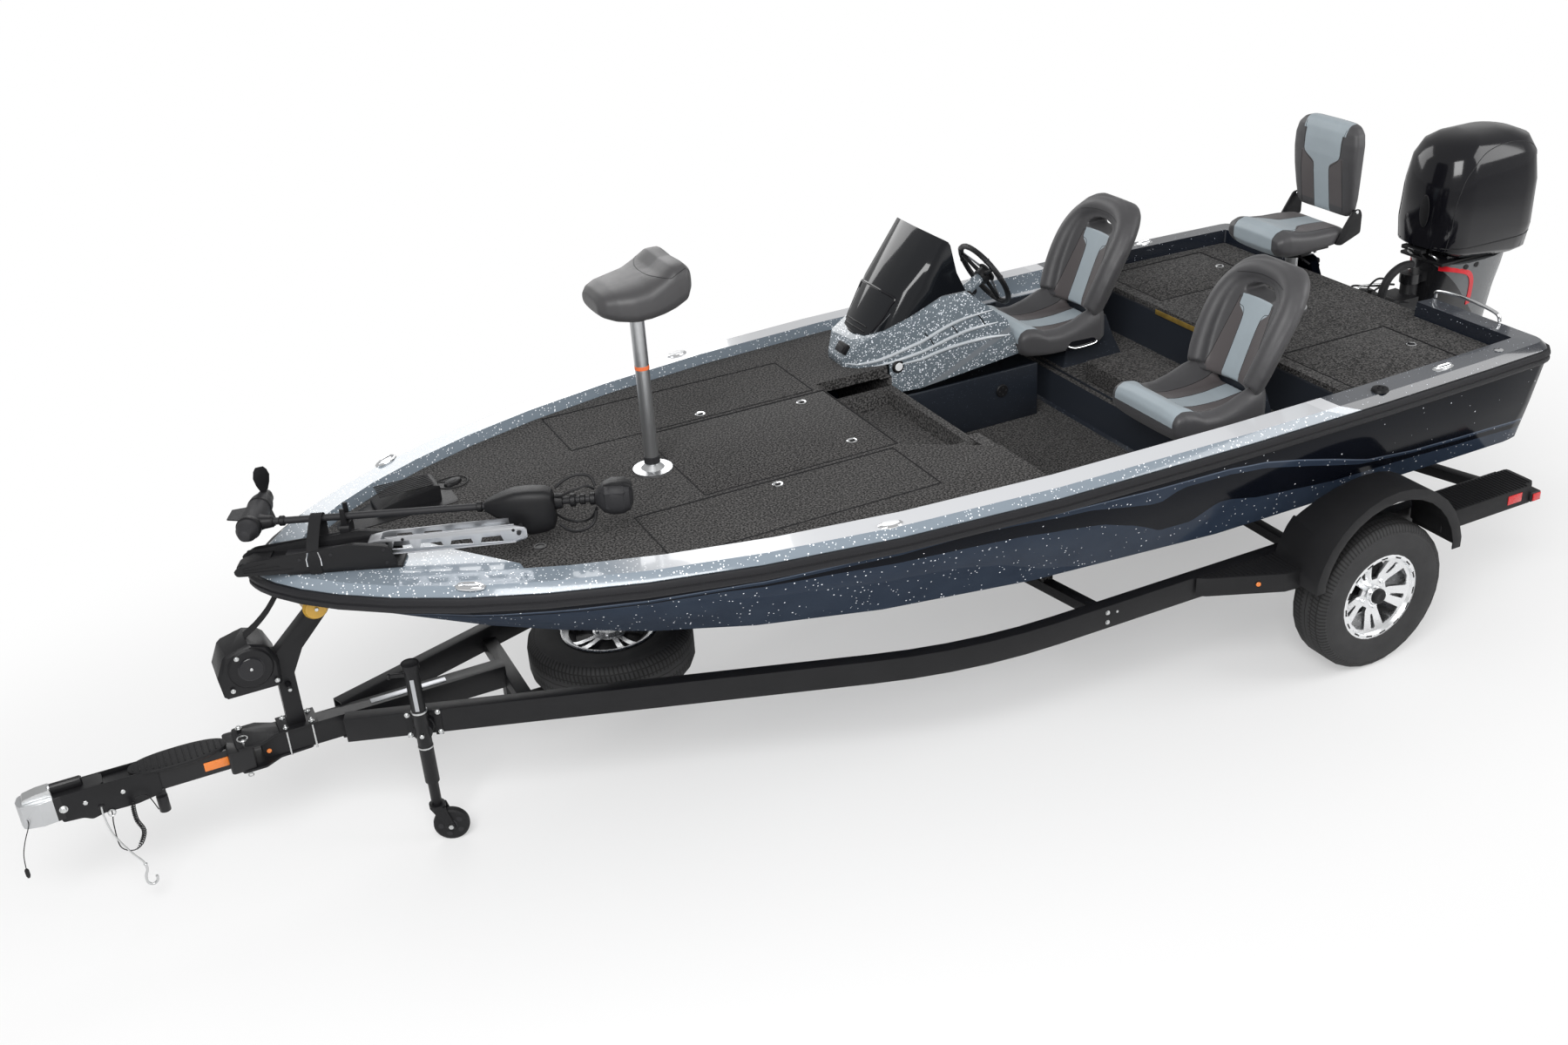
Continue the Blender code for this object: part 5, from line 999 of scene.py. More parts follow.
spareAt = wheelSet["spare"]
dress("spare_wheel", tyrePaint("spare_tyre", spareAt, False), 60)
spareTrim = Form()
spareTrim.lathe(satinBlack, [(0.0, 0.0645), (0.092, 0.0645), (0.15, 0.0525), (0.196, 0.086), (0.15, 0.06),
        (0.092, 0.068), (0.0, 0.068)], spareAt, skyward, 40)
spareTrim.lathe(wheelChrome, [(0.18, 0.074), (0.202, 0.0895), (0.214, 0.096), (0.208, 0.0995),
        (0.196, 0.096), (0.18, 0.084)], spareAt, skyward, 48, True)
spareTrim.lathe(wheelChrome, [(0, 0.068), (0.07, 0.068), (0.076, 0.072), (0.074, 0.08), (0.04, 0.084),
        (0.036, 0.078), (0, 0.078)], spareAt, skyward, 40)
for n in range(5):
    a = 2 * pi * n / 5 + 0.4
    for b in (a - 0.16, a + 0.16):
        out, over, down = Vector((cos(b), sin(b), 0)), Vector((-sin(b), cos(b), 0)), skyward * 0.01
        rings = []
        for r, wide, high in ((0.06, 0.012, 0.078), (0.11, 0.011, 0.076), (0.16, 0.013, 0.08),
                (0.196, 0.017, 0.09)):
            mid = spareAt + out * r + skyward * high
            rings.append([mid + over * wide, mid - over * wide, mid - over * wide * 0.8 - down,
                    mid + over * wide * 0.8 - down])
        spareTrim.loft(wheelChrome, rings)
    nut = spareAt + Vector((0.056 * cos(a + 0.63), 0.056 * sin(a + 0.63), 0))
    spareTrim.rod(wheelChrome, nut + skyward * 0.078, nut + skyward * 0.092, 0.01, 0.008, 10, 0.002)
spareTrim.piece("spare_wheel_disc")
print("wheels")

# deck fittings: latches, lights, cleats, caps, sockets and the lead of the deck's puck
fittingSet = {"latches": {"centre_lid": [(3.154, -0.28, 1.3), (3.158, 0.215, 1.3)],
        "rod_lid_port": [(3.615, 0.421, 1.3)], "rod_lid_starboard": [(3.598, -0.421, 1.3)],
        "rear_lid_port": [(0.43, 0.69, 1.278)], "rear_lid_starboard": [(0.43, -0.69, 1.278)]},
        # place, side and turn
        "light": (3.441, 1.057, -0.12), "cleats": ((4.985, 0.64, -0.55), (0.64, 1.08, 0.0)),
        "filler": (1.045, 1.12), "sockets": ((1.73, -0.75), (1.73, 0.0), (2.3, 0.35)),
        "rail": ((0.02, 0.42, 1.346), (0.03, 0.45, 1.385), (0.035, 0.62, 1.4), (0.035, 0.8, 1.385),
        (0.03, 0.83, 1.346))}


def disc(form, paint, profile, x, y, z, steps=28, ring=False):
    form.lathe(paint, profile, at(x, y, z), skyward, steps, ring)


def oval(form, paint, x, y, z, long, wide, high, turn=0.0, rim=0.3):
    rings = []
    for share, lift in ((1.0, -0.002), (1.0, high * 0.35), (1 - rim * 0.35, high * 0.8), (1 - rim, high)):
        rings.append([at(x + long * share * u * cos(turn) - wide * share * v * sin(turn),
                y + long * share * u * sin(turn) + wide * share * v * cos(turn), z + lift)
                for u, v in hoop(32)])
    form.loft(paint, rings)


for body, places in fittingSet["latches"].items():
    form = Form()
    for x, y, z in places:
        disc(form, chrome, [(0, 0.0), (0.023, 0.0), (0.024, 0.0015), (0.021, 0.0035), (0.013, 0.0022),
                (0, 0.0022)], x, y, z + 0.0004)
        form.box(satinBlack, (x - 0.012, x + 0.012), (y - 0.004, y + 0.008), (z + 0.0028, z + 0.0054), 0.001)
    form.piece("latch_" + body, body)

fittings = Form()
for side in (1, -1):
    x, y, turn = fittingSet["light"]
    oval(fittings, chrome, x, side * y, 1.3432, 0.052, 0.026, 0.009, side * turn)
    oval(fittings, whitePlastic, x, side * y, 1.348, 0.04, 0.018, 0.009, side * turn)
    for x, y, turn in fittingSet["cleats"]:
        oval(fittings, chrome, x, side * y, 1.34, 0.06, 0.024, 0.01, side * turn)
        bar = [at(x + u * cos(side * turn), side * y + u * sin(side * turn), 1.35 + h)
               for u, h in ((-0.045, 0.001), (-0.025, 0.0075), (0.025, 0.0075), (0.045, 0.001))]
        fittings.tube(chrome, catmull(bar, 5), 0.0045, 10)
    rail = [at(x, side * y, z) for x, y, z in fittingSet["rail"]]
    fittings.tube(chrome, catmull(rail, 8), 0.009, 12)
x, y = fittingSet["filler"]
disc(fittings, satinBlack, [(0, 0.0), (0.036, 0.0), (0.038, 0.004), (0.034, 0.014), (0.024, 0.017),
        (0, 0.018)], x, y, 1.3418, 36)
for u, v in hoop(3):
    spans = [(middle - 0.004, middle + 0.004) for middle in (x + 0.012 * u, y + 0.012 * v)]
    fittings.box(satinBlack, *spans, (1.358, 1.3625), 0.001)
disc(fittings, satinBlack, [(0, 0.0), (0.024, 0.0), (0.025, 0.003), (0.018, 0.004), (0.016, 0.0015),
        (0, 0.0015)], 4.64, 0.405, 1.3003)
oval(fittings, satinBlack, 4.776, -0.349, 1.3003, 0.045, 0.026, 0.016, 0.5)
oval(fittings, darkGrey, 4.776, -0.349, 1.315, 0.024, 0.012, 0.003, 0.5)
disc(fittings, chrome, [(0.0, 0.0), (0.01, 0.0), (0.01, 0.004), (0, 0.005)], 1.73, -0.75, 0.8602, 20)
for x, y in fittingSet["sockets"]:
    disc(fittings, darkGrey, [(0.018, 0.0), (0.03, 0.0), (0.03, 0.0025), (0.018, 0.0025)], x, y, 0.8603, 28,
            True)
disc(fittings, chrome, [(0, 0.0), (0.02, 0.0), (0.021, 0.004), (0.012, 0.007), (0, 0.007)], 0.3, 1.075, 1.344)
# gold strip on the bulkhead between the seats
fittings.box(goldStrip, (1.0705, 1.076), (-0.4, 0.055), (1.236, 1.262), 0.002)
fittings.piece("deck_fittings")
cordTube("puck_lead", route("puck", 8), 0.0028, root)
print("deck fittings")

# foot pedal tray at the bow
tray = Form()
tray.plate(satinBlack, roundedOutline([(4.8, -0.4), (5.06, -0.4), (5.3, -0.235), (5.3, -0.13),
        (4.8, -0.16)], 0.03), 1.3004, 1.3035, "Z", 0.001)
for k in range(9):
    y = -0.33 + k * 0.0138
    tray.box(rubber, (4.88, 5.11), (y, y + 0.007), (1.3795, 1.383), 0.0015)
tray.piece("pedal_tray")

# outboard: seams, stripe that turns down the leg, vents, recessed grip, and what shows under the cover
engineSet = {"cover": "outboard_cowl", "leg": "outboard_leg", "vents": (-0.452, -0.52),
        "seam": [(-0.292, 1.435), (-0.3, 1.56), (-0.318, 1.72), (-0.372, 1.85), (-0.47, 1.925),
        (-0.64, 1.95), (-0.8, 1.915), (-0.88, 1.84)], "stripe": [(-0.335, 1.33), (-0.4, 1.322),
        (-0.475, 1.296), (-0.52, 1.25), (-0.545, 1.18), (-0.562, 1.09)],
        "hoses": ((-0.33, 0.09), (-0.3, 0.04), (-0.31, -0.06), (-0.35, -0.11)),
        # loose leads: side at the well, side at the swivel, height
        "leads": ((0.06, 0.03, 1.33), (-0.04, -0.02, 1.318), (-0.09, -0.05, 1.3), (0.02, -0.03, 1.345))}
engine = Form()
for side in (1, -1):
    inward = leftward * -side
    seam = catmull([at(x, side * 0.9, z) for x, z in engineSet["seam"]], 10)
    engine.tube(darkGrey, draped(engineSet["cover"], seam, inward, -0.0006), 0.0022, 8)
    # the line around the cover's foot
    low = [at(x, side * 0.9, 1.452 + 0.02 * ((x + 0.6) / 0.35) ** 2 * 0.3) for x in
           [-0.262 - 0.64 * k / 24 for k in range(25)]]
    engine.tube(satinBlack, draped(engineSet["cover"], low, inward, -0.0004), 0.003, 8)
    stripeRun = catmull([at(x, side * 0.9, z) for x, z in engineSet["stripe"]], 6)
    engine.ribbon(redPaint, draped(engineSet["leg"], stripeRun, inward, 0.0012), -inward, 0.028, 0.003)
    for x in engineSet["vents"]:
        for place in draped(engineSet["leg"], [at(x, side * 0.9, 1.334)], inward):
            engine.rod(satinBlack, place + inward * 0.004, place - inward * 0.003, 0.016, steps=20,
                    edge=0.001)
engine.loft(satinBlack, [[at(-0.2335 + lift, 0.052 + 0.03 * share * u, 1.64 + 0.085 * share * v)
        for u, v in hoop(28)] for lift, share in ((0.0005, 1.0), (0.004, 0.96), (0.005, 0.85))])
engine.box(satinBlack, (-0.262, -0.226), (-0.07, 0.07), (1.416, 1.438), 0.005)
engine.box(chrome, (-0.227, -0.224), (-0.02, 0.02), (1.422, 1.432), 0.001)
for y in (-0.108, 0.108):
    engine.rod(satinBlack, at(-0.4, y, 1.35), at(-0.4, y, 1.405), 0.014, steps=14)
engine.piece("outboard_trim", "outboard")

rigging = Form()
rigging.box(satinBlack, (-0.83, -0.3), (-0.145, 0.145), (1.352, 1.372), 0.008)
for n, (x, y) in enumerate(engineSet["hoses"]):
    loop = catmull([at(x, y, 1.37), at(x + 0.03, y * 1.1, 1.392), at(x + 0.035, y * 0.7, 1.404),
            at(x, y * 0.5, 1.398)], 6)
    rigging.tube(cableBlack if n % 2 else steel, loop, 0.006, 8)
rigging.piece("outboard_rigging", "outboard")

hose = route("hose", 8)
cordTube("rigging_hose", hose, 0.021, root, paint=rubber, steps=20,
        bend=(root, "outboard_swivel", hose[8], hose[-1]))
for n, (y0, y1, top) in enumerate(engineSet["leads"]):
    lead = catmull([at(0.082, y0, 1.226), at(0.06, y0, 1.262 + (top - 1.3) * 0.5),
            at(0.0, (y0 + y1) / 2, top - 0.045), at(-0.06, y1, top - 0.05),
            at(-0.11, y1 * 0.8, top - 0.062)], 8)
    cordTube("rigging_lead_%d" % n, lead, 0.0055, root, paint=steel if n == 1 else cableBlack,
            bend=(root, "outboard_swivel", lead[6], lead[-1]))
print("outboard")

# trolling motor, in its own turned mount: u runs along it, v to its left, w up
trolling = {"at": (5.24, 0.26, 1.3465), "lean": radians(-24), "pod": (0.47, -0.12, 0.16),
        # rounded boxes along u: u, v low, v high, w low, w high
        "housing": [(-0.694, -0.098, -0.045, 0.085, 0.19), (-0.684, -0.118, -0.032, 0.062, 0.212),
        (-0.66, -0.128, -0.024, 0.05, 0.224), (-0.6, -0.131, -0.02, 0.042, 0.229),
        (-0.545, -0.131, -0.022, 0.048, 0.226), (-0.505, -0.129, -0.03, 0.08, 0.214),
        (-0.47, -0.12, -0.044, 0.115, 0.2), (-0.44, -0.11, -0.058, 0.134, 0.188),
        (-0.425, -0.104, -0.064, 0.142, 0.18)], "neck": [(-0.722, -0.112, -0.058, 0.132, 0.188),
        (-0.7, -0.114, -0.056, 0.128, 0.192), (-0.68, -0.11, -0.06, 0.132, 0.188)],
        "head": [(-0.992, -0.108, -0.062, 0.135, 0.19), (-0.982, -0.132, -0.04, 0.112, 0.214),
        (-0.955, -0.144, -0.028, 0.098, 0.228), (-0.915, -0.146, -0.026, 0.096, 0.23),
        (-0.88, -0.138, -0.034, 0.106, 0.22), (-0.86, -0.118, -0.052, 0.128, 0.196),
        (-0.848, -0.105, -0.065, 0.14, 0.18)], "headCap": [(-0.99, -0.105, -0.065, 0.18, 0.218),
        (-0.965, -0.118, -0.052, 0.214, 0.232), (-0.915, -0.118, -0.052, 0.222, 0.2345),
        (-0.885, -0.108, -0.062, 0.205, 0.224)], "podNeck": [(0.392, -0.108, -0.062, 0.138, 0.182),
        (0.42, -0.112, -0.058, 0.134, 0.186), (0.445, -0.128, -0.042, 0.128, 0.192)],
        "collars": ((-0.838, 0.024), (-0.8, 0.021), (-0.762, 0.026), (0.352, 0.02), (0.395, 0.023),
        (-0.405, 0.021)), "podRings": ([(0.0455, 0.06), (0.0475, 0.064), (0.0475, 0.084), (0.0455, 0.088)],
        [(0.0455, -0.1), (0.047, -0.097), (0.047, -0.085), (0.0455, -0.082)]),
        # leads between housing and head: radius and route
        "leads": {"low": (0.006, [(-0.85, -0.06, 0.118), (-0.835, -0.02, 0.085), (-0.79, -0.012, 0.064),
        (-0.745, -0.03, 0.058), (-0.705, -0.055, 0.075)]),
        "high": (0.006, [(-0.85, -0.11, 0.2), (-0.83, -0.128, 0.236), (-0.78, -0.124, 0.246),
        (-0.735, -0.118, 0.232), (-0.695, -0.108, 0.205)]),
        "side": (0.0048, [(-0.848, -0.075, 0.205), (-0.82, -0.05, 0.232), (-0.77, -0.04, 0.222),
        (-0.73, -0.05, 0.2), (-0.697, -0.065, 0.19)]), "loop": (0.0052,
        [(-0.85, -0.085, 0.12), (-0.83, -0.1, 0.08), (-0.8, -0.12, 0.052), (-0.755, -0.125, 0.048),
        (-0.715, -0.112, 0.07), (-0.69, -0.1, 0.098)])},
        "cover": [(-0.096, 0.012), (-0.07, 0.1), (0.055, 0.117), (0.47, 0.07), (0.528, 0.034),
        (0.52, 0.01)], "coverSides": ((0.0602, 0.072), (-0.06, -0.0522)),
        "screws": ((-0.05, 0.085), (-0.055, 0.03), (0.15, 0.08), (0.27, 0.068)),
        "strap": [(0.0745, 0.006), (0.075, 0.08), (0.04, 0.128), (-0.05, 0.18), (-0.09, 0.1795),
        (-0.112, 0.15), (-0.1, 0.08), (-0.064, 0.01)]}


def tm(u, v, w):
    x, y, z = trolling["at"]
    c, s = cos(trolling["lean"]), sin(trolling["lean"])
    return at(x + u * c - v * s, y + u * s + v * c, z + w)


def tmLoft(form, paint, rows, steps, p):
    form.loft(paint, [[tm(u, (v0 + v1) / 2 + (v1 - v0) / 2 * c, (w0 + w1) / 2 + (w1 - w0) / 2 * s)
            for c, s in hoop(steps, p)] for u, v0, v1, w0, w1 in rows])


motor = Form()
for paint, key, steps, p in ((satinBlack, "housing", 32, 0.5), (satinBlack, "neck", 24, 0.9),
        (darkGrey, "head", 32, 0.72), (satinBlack, "headCap", 20, 0.7), (satinBlack, "podNeck", 24, 0.8)):
    tmLoft(motor, paint, trolling[key], steps, p)
for u, r in trolling["collars"]:
    motor.rod(satinBlack, tm(u - 0.011, -0.085, 0.16), tm(u + 0.011, -0.085, 0.16), r, steps=24, edge=0.003)
for profile in trolling["podRings"]:
    motor.lathe(satinBlack, profile, tm(*trolling["pod"]), tm(0, 1, 0) - tm(0, 0, 0), 36)
motor.piece("trolling_housing", "trolling_motor")
for key, (r, places) in trolling["leads"].items():
    cordTube("trolling_lead_" + key, catmull([tm(*place) for place in places], 8), r, "trolling_motor")

mountTrim = Form()
# side covers with their ribs, screws and nose, over the mount's plates
ring = roundedOutline([(u, w, 0) for u, w in trolling["cover"]], 0.014, 2)
for v0, v1 in trolling["coverSides"]:
    mountTrim.loft(satinBlack, [[tm(p.x, v0, p.y) for p in ring], [tm(p.x, v1 - 0.003, p.y) for p in ring],
            [tm(p.x * 0.985 + 0.003, v1, p.y * 0.94 + 0.004) for p in ring]])
for k in range(3):
    rib = [tm(0.3 + 0.05 * k, 0.072, 0.03 + 0.015 * k), tm(0.49, 0.072, 0.024 + 0.009 * k)]
    mountTrim.tube(rubber, rib, 0.0025, 6)
for u, w in trolling["screws"]:
    mountTrim.rod(darkGrey, tm(u, 0.07, w), tm(u, 0.0745, w), 0.006, steps=12, edge=0.001)
tmLoft(mountTrim, darkGrey, [(-0.03, -0.04, 0.045, 0.06, 0.066), (0.34, -0.04, 0.045, 0.052, 0.058)], 16, 0.3)
tmLoft(mountTrim, satinBlack, [(0.395, -0.055, 0.064, 0.012, 0.06), (0.47, -0.05, 0.062, 0.012, 0.058),
        (0.52, -0.03, 0.05, 0.014, 0.04)], 24, 0.5)
# rest for the shaft, and the strap with its clips
for v in (-0.118, -0.06):
    mountTrim.loft(satinBlack, [[tm(u, far, w) for u, w in ((0.098, 0.06), (0.128, 0.06), (0.12, 0.205),
            (0.104, 0.205))] for far in (v, v + 0.008)])
tmLoft(mountTrim, satinBlack, [(0.095, -0.122, -0.045, 0.05, 0.138), (0.132, -0.122, -0.045, 0.05, 0.138)],
       20, 0.35)
path = catmull([tm(0.215, v, w) for v, w in trolling["strap"]], 5)
runs = [path[min(i + 1, len(path) - 1)] - path[max(i - 1, 0)] for i in range(len(path))]
ups = [run.normalized().cross(tm(1, 0, 0) - tm(0, 0, 0)).normalized() for run in runs]
mountTrim.ribbon(strapBlack, path, ups, 0.046, 0.003)
for du in (-0.027, 0.027):
    mountTrim.tube(chrome, [tm(0.215 + du, 0.0775, 0.04), tm(0.215 + du, 0.0785, 0.07),
            tm(0.215 + du * 0.7, 0.072, 0.095)], 0.0028, 8)
mountTrim.piece("trolling_mount_trim")

armTrim = Form()
for u, w in ((-0.06, 0.095), (-0.54, 0.112), (-0.12, 0.106)):
    armTrim.rod(satinBlack, tm(u, 0.037, w), tm(u, 0.0425, w), 0.006, steps=12, edge=0.001)
for line in (((-0.055, 0.118), (-0.3, 0.128), (-0.545, 0.137)),
        ((-0.075, 0.048), (-0.3, 0.053), (-0.545, 0.062))):
    armTrim.tube(silver, [tm(u, 0.0395, w) for u, w in line], 0.0025, 8)
tmLoft(armTrim, rubber, [(-0.56, -0.02, 0.025, 0.055, 0.075), (-0.48, -0.02, 0.025, 0.05, 0.07)], 16, 0.5)
armTrim.piece("trolling_arm_trim", "trolling_arm")
print("trolling motor")

# console: swept ribs, thin slots drawn as black lines of painted shade, round cap, gauges, and the hood's
# frame, louvres and silver slashes
consoleSet = {"y": -0.62, "hoodDown": (-1, 0, -0.25), "slotFrom": (2.14, 2.29, 2.43), "cap": (2.56, 1.285),
        "ribs": [[(2.79, 1.318), (2.64, 1.33), (2.45, 1.395), (2.25, 1.455), (2.05, 1.47)],
        [(2.78, 1.3), (2.62, 1.305), (2.42, 1.35), (2.2, 1.395), (2.02, 1.4)],
        [(2.7, 1.276), (2.5, 1.3), (2.3, 1.33), (2.1, 1.335), (1.95, 1.32)]],
        # side and radius of each gauge, then side and height of the hood's lines
        "gauges": ((-0.72, 0.03), (-0.64, 0.04), (-0.555, 0.03)),
        "frame": [(-0.135, 1.655), (0.135, 1.655), (0.15, 1.6), (0.118, 1.44), (0.1, 1.395), (-0.1, 1.395),
        (-0.118, 1.44), (-0.15, 1.6)], "louvres": (1.43, 1.455, 1.48),
        "slashes": (([(0.165, 1.575), (0.14, 1.5), (0.132, 1.455)], 0.0075),
        ([(0.15, 1.44), (0.136, 1.405)], 0.006))}
consoleTrim = Form()
ribCoat = gelcoat("ribGel", (0.42, 0.45, 0.48), 0.25, 0.2, 210, 0.18)


def onConsole(points, side, lift):
    # places beside the console, moved to its side
    beside = [at(x, consoleSet["y"] + side * 0.9, z) for x, z in points]
    return draped("console", beside, leftward * -side, lift)


def onHood(points, each=8, closed=False, lift=0.0):
    line = catmull([at(3.0, consoleSet["y"] + y, z + 0.08) for y, z in points], each, closed)
    return draped("windscreen", line, consoleSet["hoodDown"], lift)


for side in (1, -1):
    for ribLine in consoleSet["ribs"]:
        met = catmull([(x, z, 0) for x, z in ribLine], 10)
        met = onConsole([(p.x, p.y) for p in met], side, -0.002)
        consoleTrim.tube(ribCoat, met, lambda t: 0.0035 + 0.006 * min(1, 4 * t) * min(1, 4 * (1 - t)), 10)
    # each slot is a satin-black tube laid on the console's side: painted shade in the slot
    for x in consoleSet["slotFrom"]:
        cut = [(x - 0.012 * k + 0.0006 * k * k, 1.47 - 0.0125 * k - (x - 2.14) * 0.12) for k in range(7)]
        consoleTrim.tube(satinBlack, onConsole(cut, side, 0.0005), 0.0028, 8)
x, z = consoleSet["cap"]
met = draped("console", [at(x, 0.3, z)], -leftward)[0]
for paint, low, high, r, tip, steps, edge in ((satinBlack, -0.003, 0.008, 0.034, 0.031, 36, 0.003),
        (whitePlastic, 0.004, 0.0095, 0.023, 0.021, 32, 0.002)):
    consoleTrim.rod(paint, met + leftward * low, met + leftward * high, r, tip, steps, edge)
tilt = Matrix.Rotation(radians(-35), 3, "Y")
consoleTrim.box(satinBlack, (2.752, 2.79), (-0.625, -0.54), (1.352, 1.402), 0.004, tilt)
consoleTrim.box(darkGrey, (2.768, 2.798), (-0.612, -0.553), (1.36, 1.394), 0.003, tilt)
out = Vector((-0.92, 0, 0.38)).normalized()
for y, r in consoleSet["gauges"]:
    for met in draped("console", [at(1.7, y, 1.545)], (0.87, 0, -0.1)):
        consoleTrim.rod(satinBlack, met - out * 0.004, met + out * 0.01, r, r * 0.94, 32, 0.002)
        consoleTrim.rod(glossBlack, met + out * 0.006, met + out * 0.0115, r * 0.84, steps=28)
consoleTrim.tube(glossBlack, onHood(consoleSet["frame"], 5, True), 0.0065, 10, True)
for z in consoleSet["louvres"]:
    consoleTrim.tube(satinBlack, onHood([(-0.09, z), (0.0, z + 0.004), (0.09, z)]), 0.0042, 8)
for flip in (1, -1):
    for line, wide in consoleSet["slashes"]:
        met = onHood([(y * flip, z) for y, z in line], 8, lift=-0.001)
        if len(met) > 3:
            consoleTrim.ribbon(silver, met, Vector((1, 0, 0.4)).normalized(), wide, 0.0025)
consoleTrim.piece("console_trim")

# steering wheel: hub, three silver spokes and the grips' bands
helmSet = {"centre": at(1.957, -0.62, 1.571), "axis": (-0.875, 0, 0.484), "rim": 0.172,
        # spoke: distance from the hub, half width, lift
        "spoke": ((0.05, 0.013, 0.018), (0.1, 0.009, 0.015), (0.158, 0.012, 0.008))}
helmTrim = Form()
centre, spin = helmSet["centre"], Vector(helmSet["axis"]).normalized()
overhead = spin.cross(leftward).normalized()
helmTrim.lathe(darkGrey, [(0, 0.012), (0.048, 0.01), (0.052, 0.014), (0.046, 0.022), (0.02, 0.027),
        (0, 0.027)], centre, spin, 36)
helmTrim.lathe(chrome, [(0.0195, 0.0265), (0.0215, 0.0285), (0.0195, 0.029), (0.0175, 0.0275)], centre,
        spin, 28, True)
for n in range(3):
    a = radians(90 + 120 * n)
    out = leftward * cos(a) + overhead * sin(a)
    over = spin.cross(out)
    helmTrim.loft(silver, [[centre + out * r + over * wide + spin * lift
            for wide, lift in ((w, h), (-w, h), (-w, h - 0.004), (w, h - 0.004))]
            for r, w, h in helmSet["spoke"]])
    for b in (a - 0.3, a + 0.3):
        band = leftward * cos(b) + overhead * sin(b)
        helmTrim.lathe(darkGrey, [(0.0145, -0.004), (0.0155, -0.003), (0.0155, 0.003), (0.0145, 0.004)],
                centre + band * helmSet["rim"], spin.cross(band), 20)
helmTrim.piece("helm_trim", "helm_wheel")
print("console")

# trailer: bolts, winch, clamp, plate, lamps, treads of the steps
trailerSet = {"bracket": (5.59, 5.694), "pin": (5.866, 0.058), "winch": (5.77, 0.945),
        "roller": (5.478, 1.108), "winchBolts": ((0.0, 0.0), (0.085, -0.075), (-0.085, -0.08),
        (0.045, 0.06)), "rollerShape": [(0.0, 0.0605), (0.034, 0.0605), (0.0415, 0.06), (0.051, 0.045),
        (0.0455, 0.0), (0.051, -0.045), (0.0415, -0.06), (0.034, -0.0605), (0.0, -0.0605)],
        "jack": (5.196, 0.262), "jackTurn": radians(20), "railX": (0.08, 2.35), "treadR": 0.0032}
trailer = Form()
zinc = steel


def bolt(form, place, out, r=0.009, high=0.008):
    out = Vector(out).normalized()
    form.rod(zinc, place - out * 0.001, place + out * 0.002, r * 1.35, steps=16)
    form.rod(zinc, place + out * 0.002, place + out * (0.002 + high), r, r, 6, 0.001)


for x in trailerSet["bracket"]:
    for y in (0.0405, -0.0405):
        trailer.rod(zinc, at(x, y, 0.476), at(x, y, 0.622), 0.0045, steps=12, edge=0.001)
        bolt(trailer, at(x, y, 0.6062), skyward, 0.008, 0.007)
trailer.box(trailerBlack, (5.565, 5.72), (-0.062, 0.062), (0.5992, 0.606), 0.002)
trailer.rod(amberLens, at(5.776, 0.0375, 0.525), at(5.776, 0.041, 0.525), 0.01, steps=20, edge=0.001)
# hinge pins of the folding tongue, with the pull ring and its clip
x, y = trailerSet["pin"]
trailer.rod(zinc, at(x, y, 0.46), at(x, y, 0.62), 0.0075, steps=14, edge=0.001)
trailer.tube(zinc, [at(x + 0.02 * u, y + 0.03 * v, 0.628 + 0.006 * v) for u, v in hoop(24)], 0.003, 8, True)
bolt(trailer, at(x, -0.055, 0.6105), skyward, 0.01, 0.008)
trailer.tube(zinc, [at(x + 0.01 * u, 0.066 + 0.012 * v, 0.458) for u, v in hoop(16)], 0.0018, 6, True)
# winch: drum cheeks and amber roller
x, z = trailerSet["winch"]
for side in (1, -1):
    for paint, low, high, r, tip, steps in ((satinBlack, 0.084, 0.094, 0.088, 0.084, 40),
            (glossBlack, 0.093, 0.098, 0.052, 0.048, 32)):
        trailer.rod(paint, at(x, side * low, z), at(x, side * high, z), r, tip, steps, 0.003)
    for dx, dz in trailerSet["winchBolts"]:
        bolt(trailer, at(x + dx, side * 0.094, z + dz), leftward * side, 0.007, 0.005)
x, z = trailerSet["roller"]
trailer.lathe(amberRubber, trailerSet["rollerShape"], at(x, 0, z), leftward, 32)
trailer.rod(zinc, at(x, -0.068, z), at(x, 0.068, z), 0.008, steps=14, edge=0.001)
trailer.rod(rubber, at(5.8, -0.19, 0.755), at(5.8, -0.262, 0.755), 0.0165, steps=20, edge=0.004)
# latch of the post
trailer.rod(satinBlack, at(5.645, 0.03, 0.8), at(5.645, 0.062, 0.79), 0.013, steps=16, edge=0.003)
trailer.rod(zinc, at(5.645, 0.06, 0.7905), at(5.645, 0.068, 0.788), 0.008, steps=14, edge=0.001)
# jack clamp on the port rail
turn = trailerSet["jackTurn"]
railOut, railAlong = Vector((sin(turn), cos(turn), 0)), Vector((cos(turn), -sin(turn), 0))
legTop = at(*trailerSet["jack"], 0.0)
clampAt = legTop + skyward * 0.545
for s in (-0.062, 0.062):
    for h in (-0.048, 0.048):
        bolt(trailer, clampAt - railOut * 0.056 + railAlong * s + skyward * h, railOut, 0.008, 0.008)
for s in (-0.072, 0.042):
    corner = [clampAt - railOut * 0.0618 + railAlong * (s + far) + skyward * h
            for far, h in ((0.0, -0.06), (0.03, -0.06), (0.03, 0.06), (0.0, 0.06))]
    trailer.loft(trailerBlack, [corner, [p + railOut * 0.007 for p in corner]])
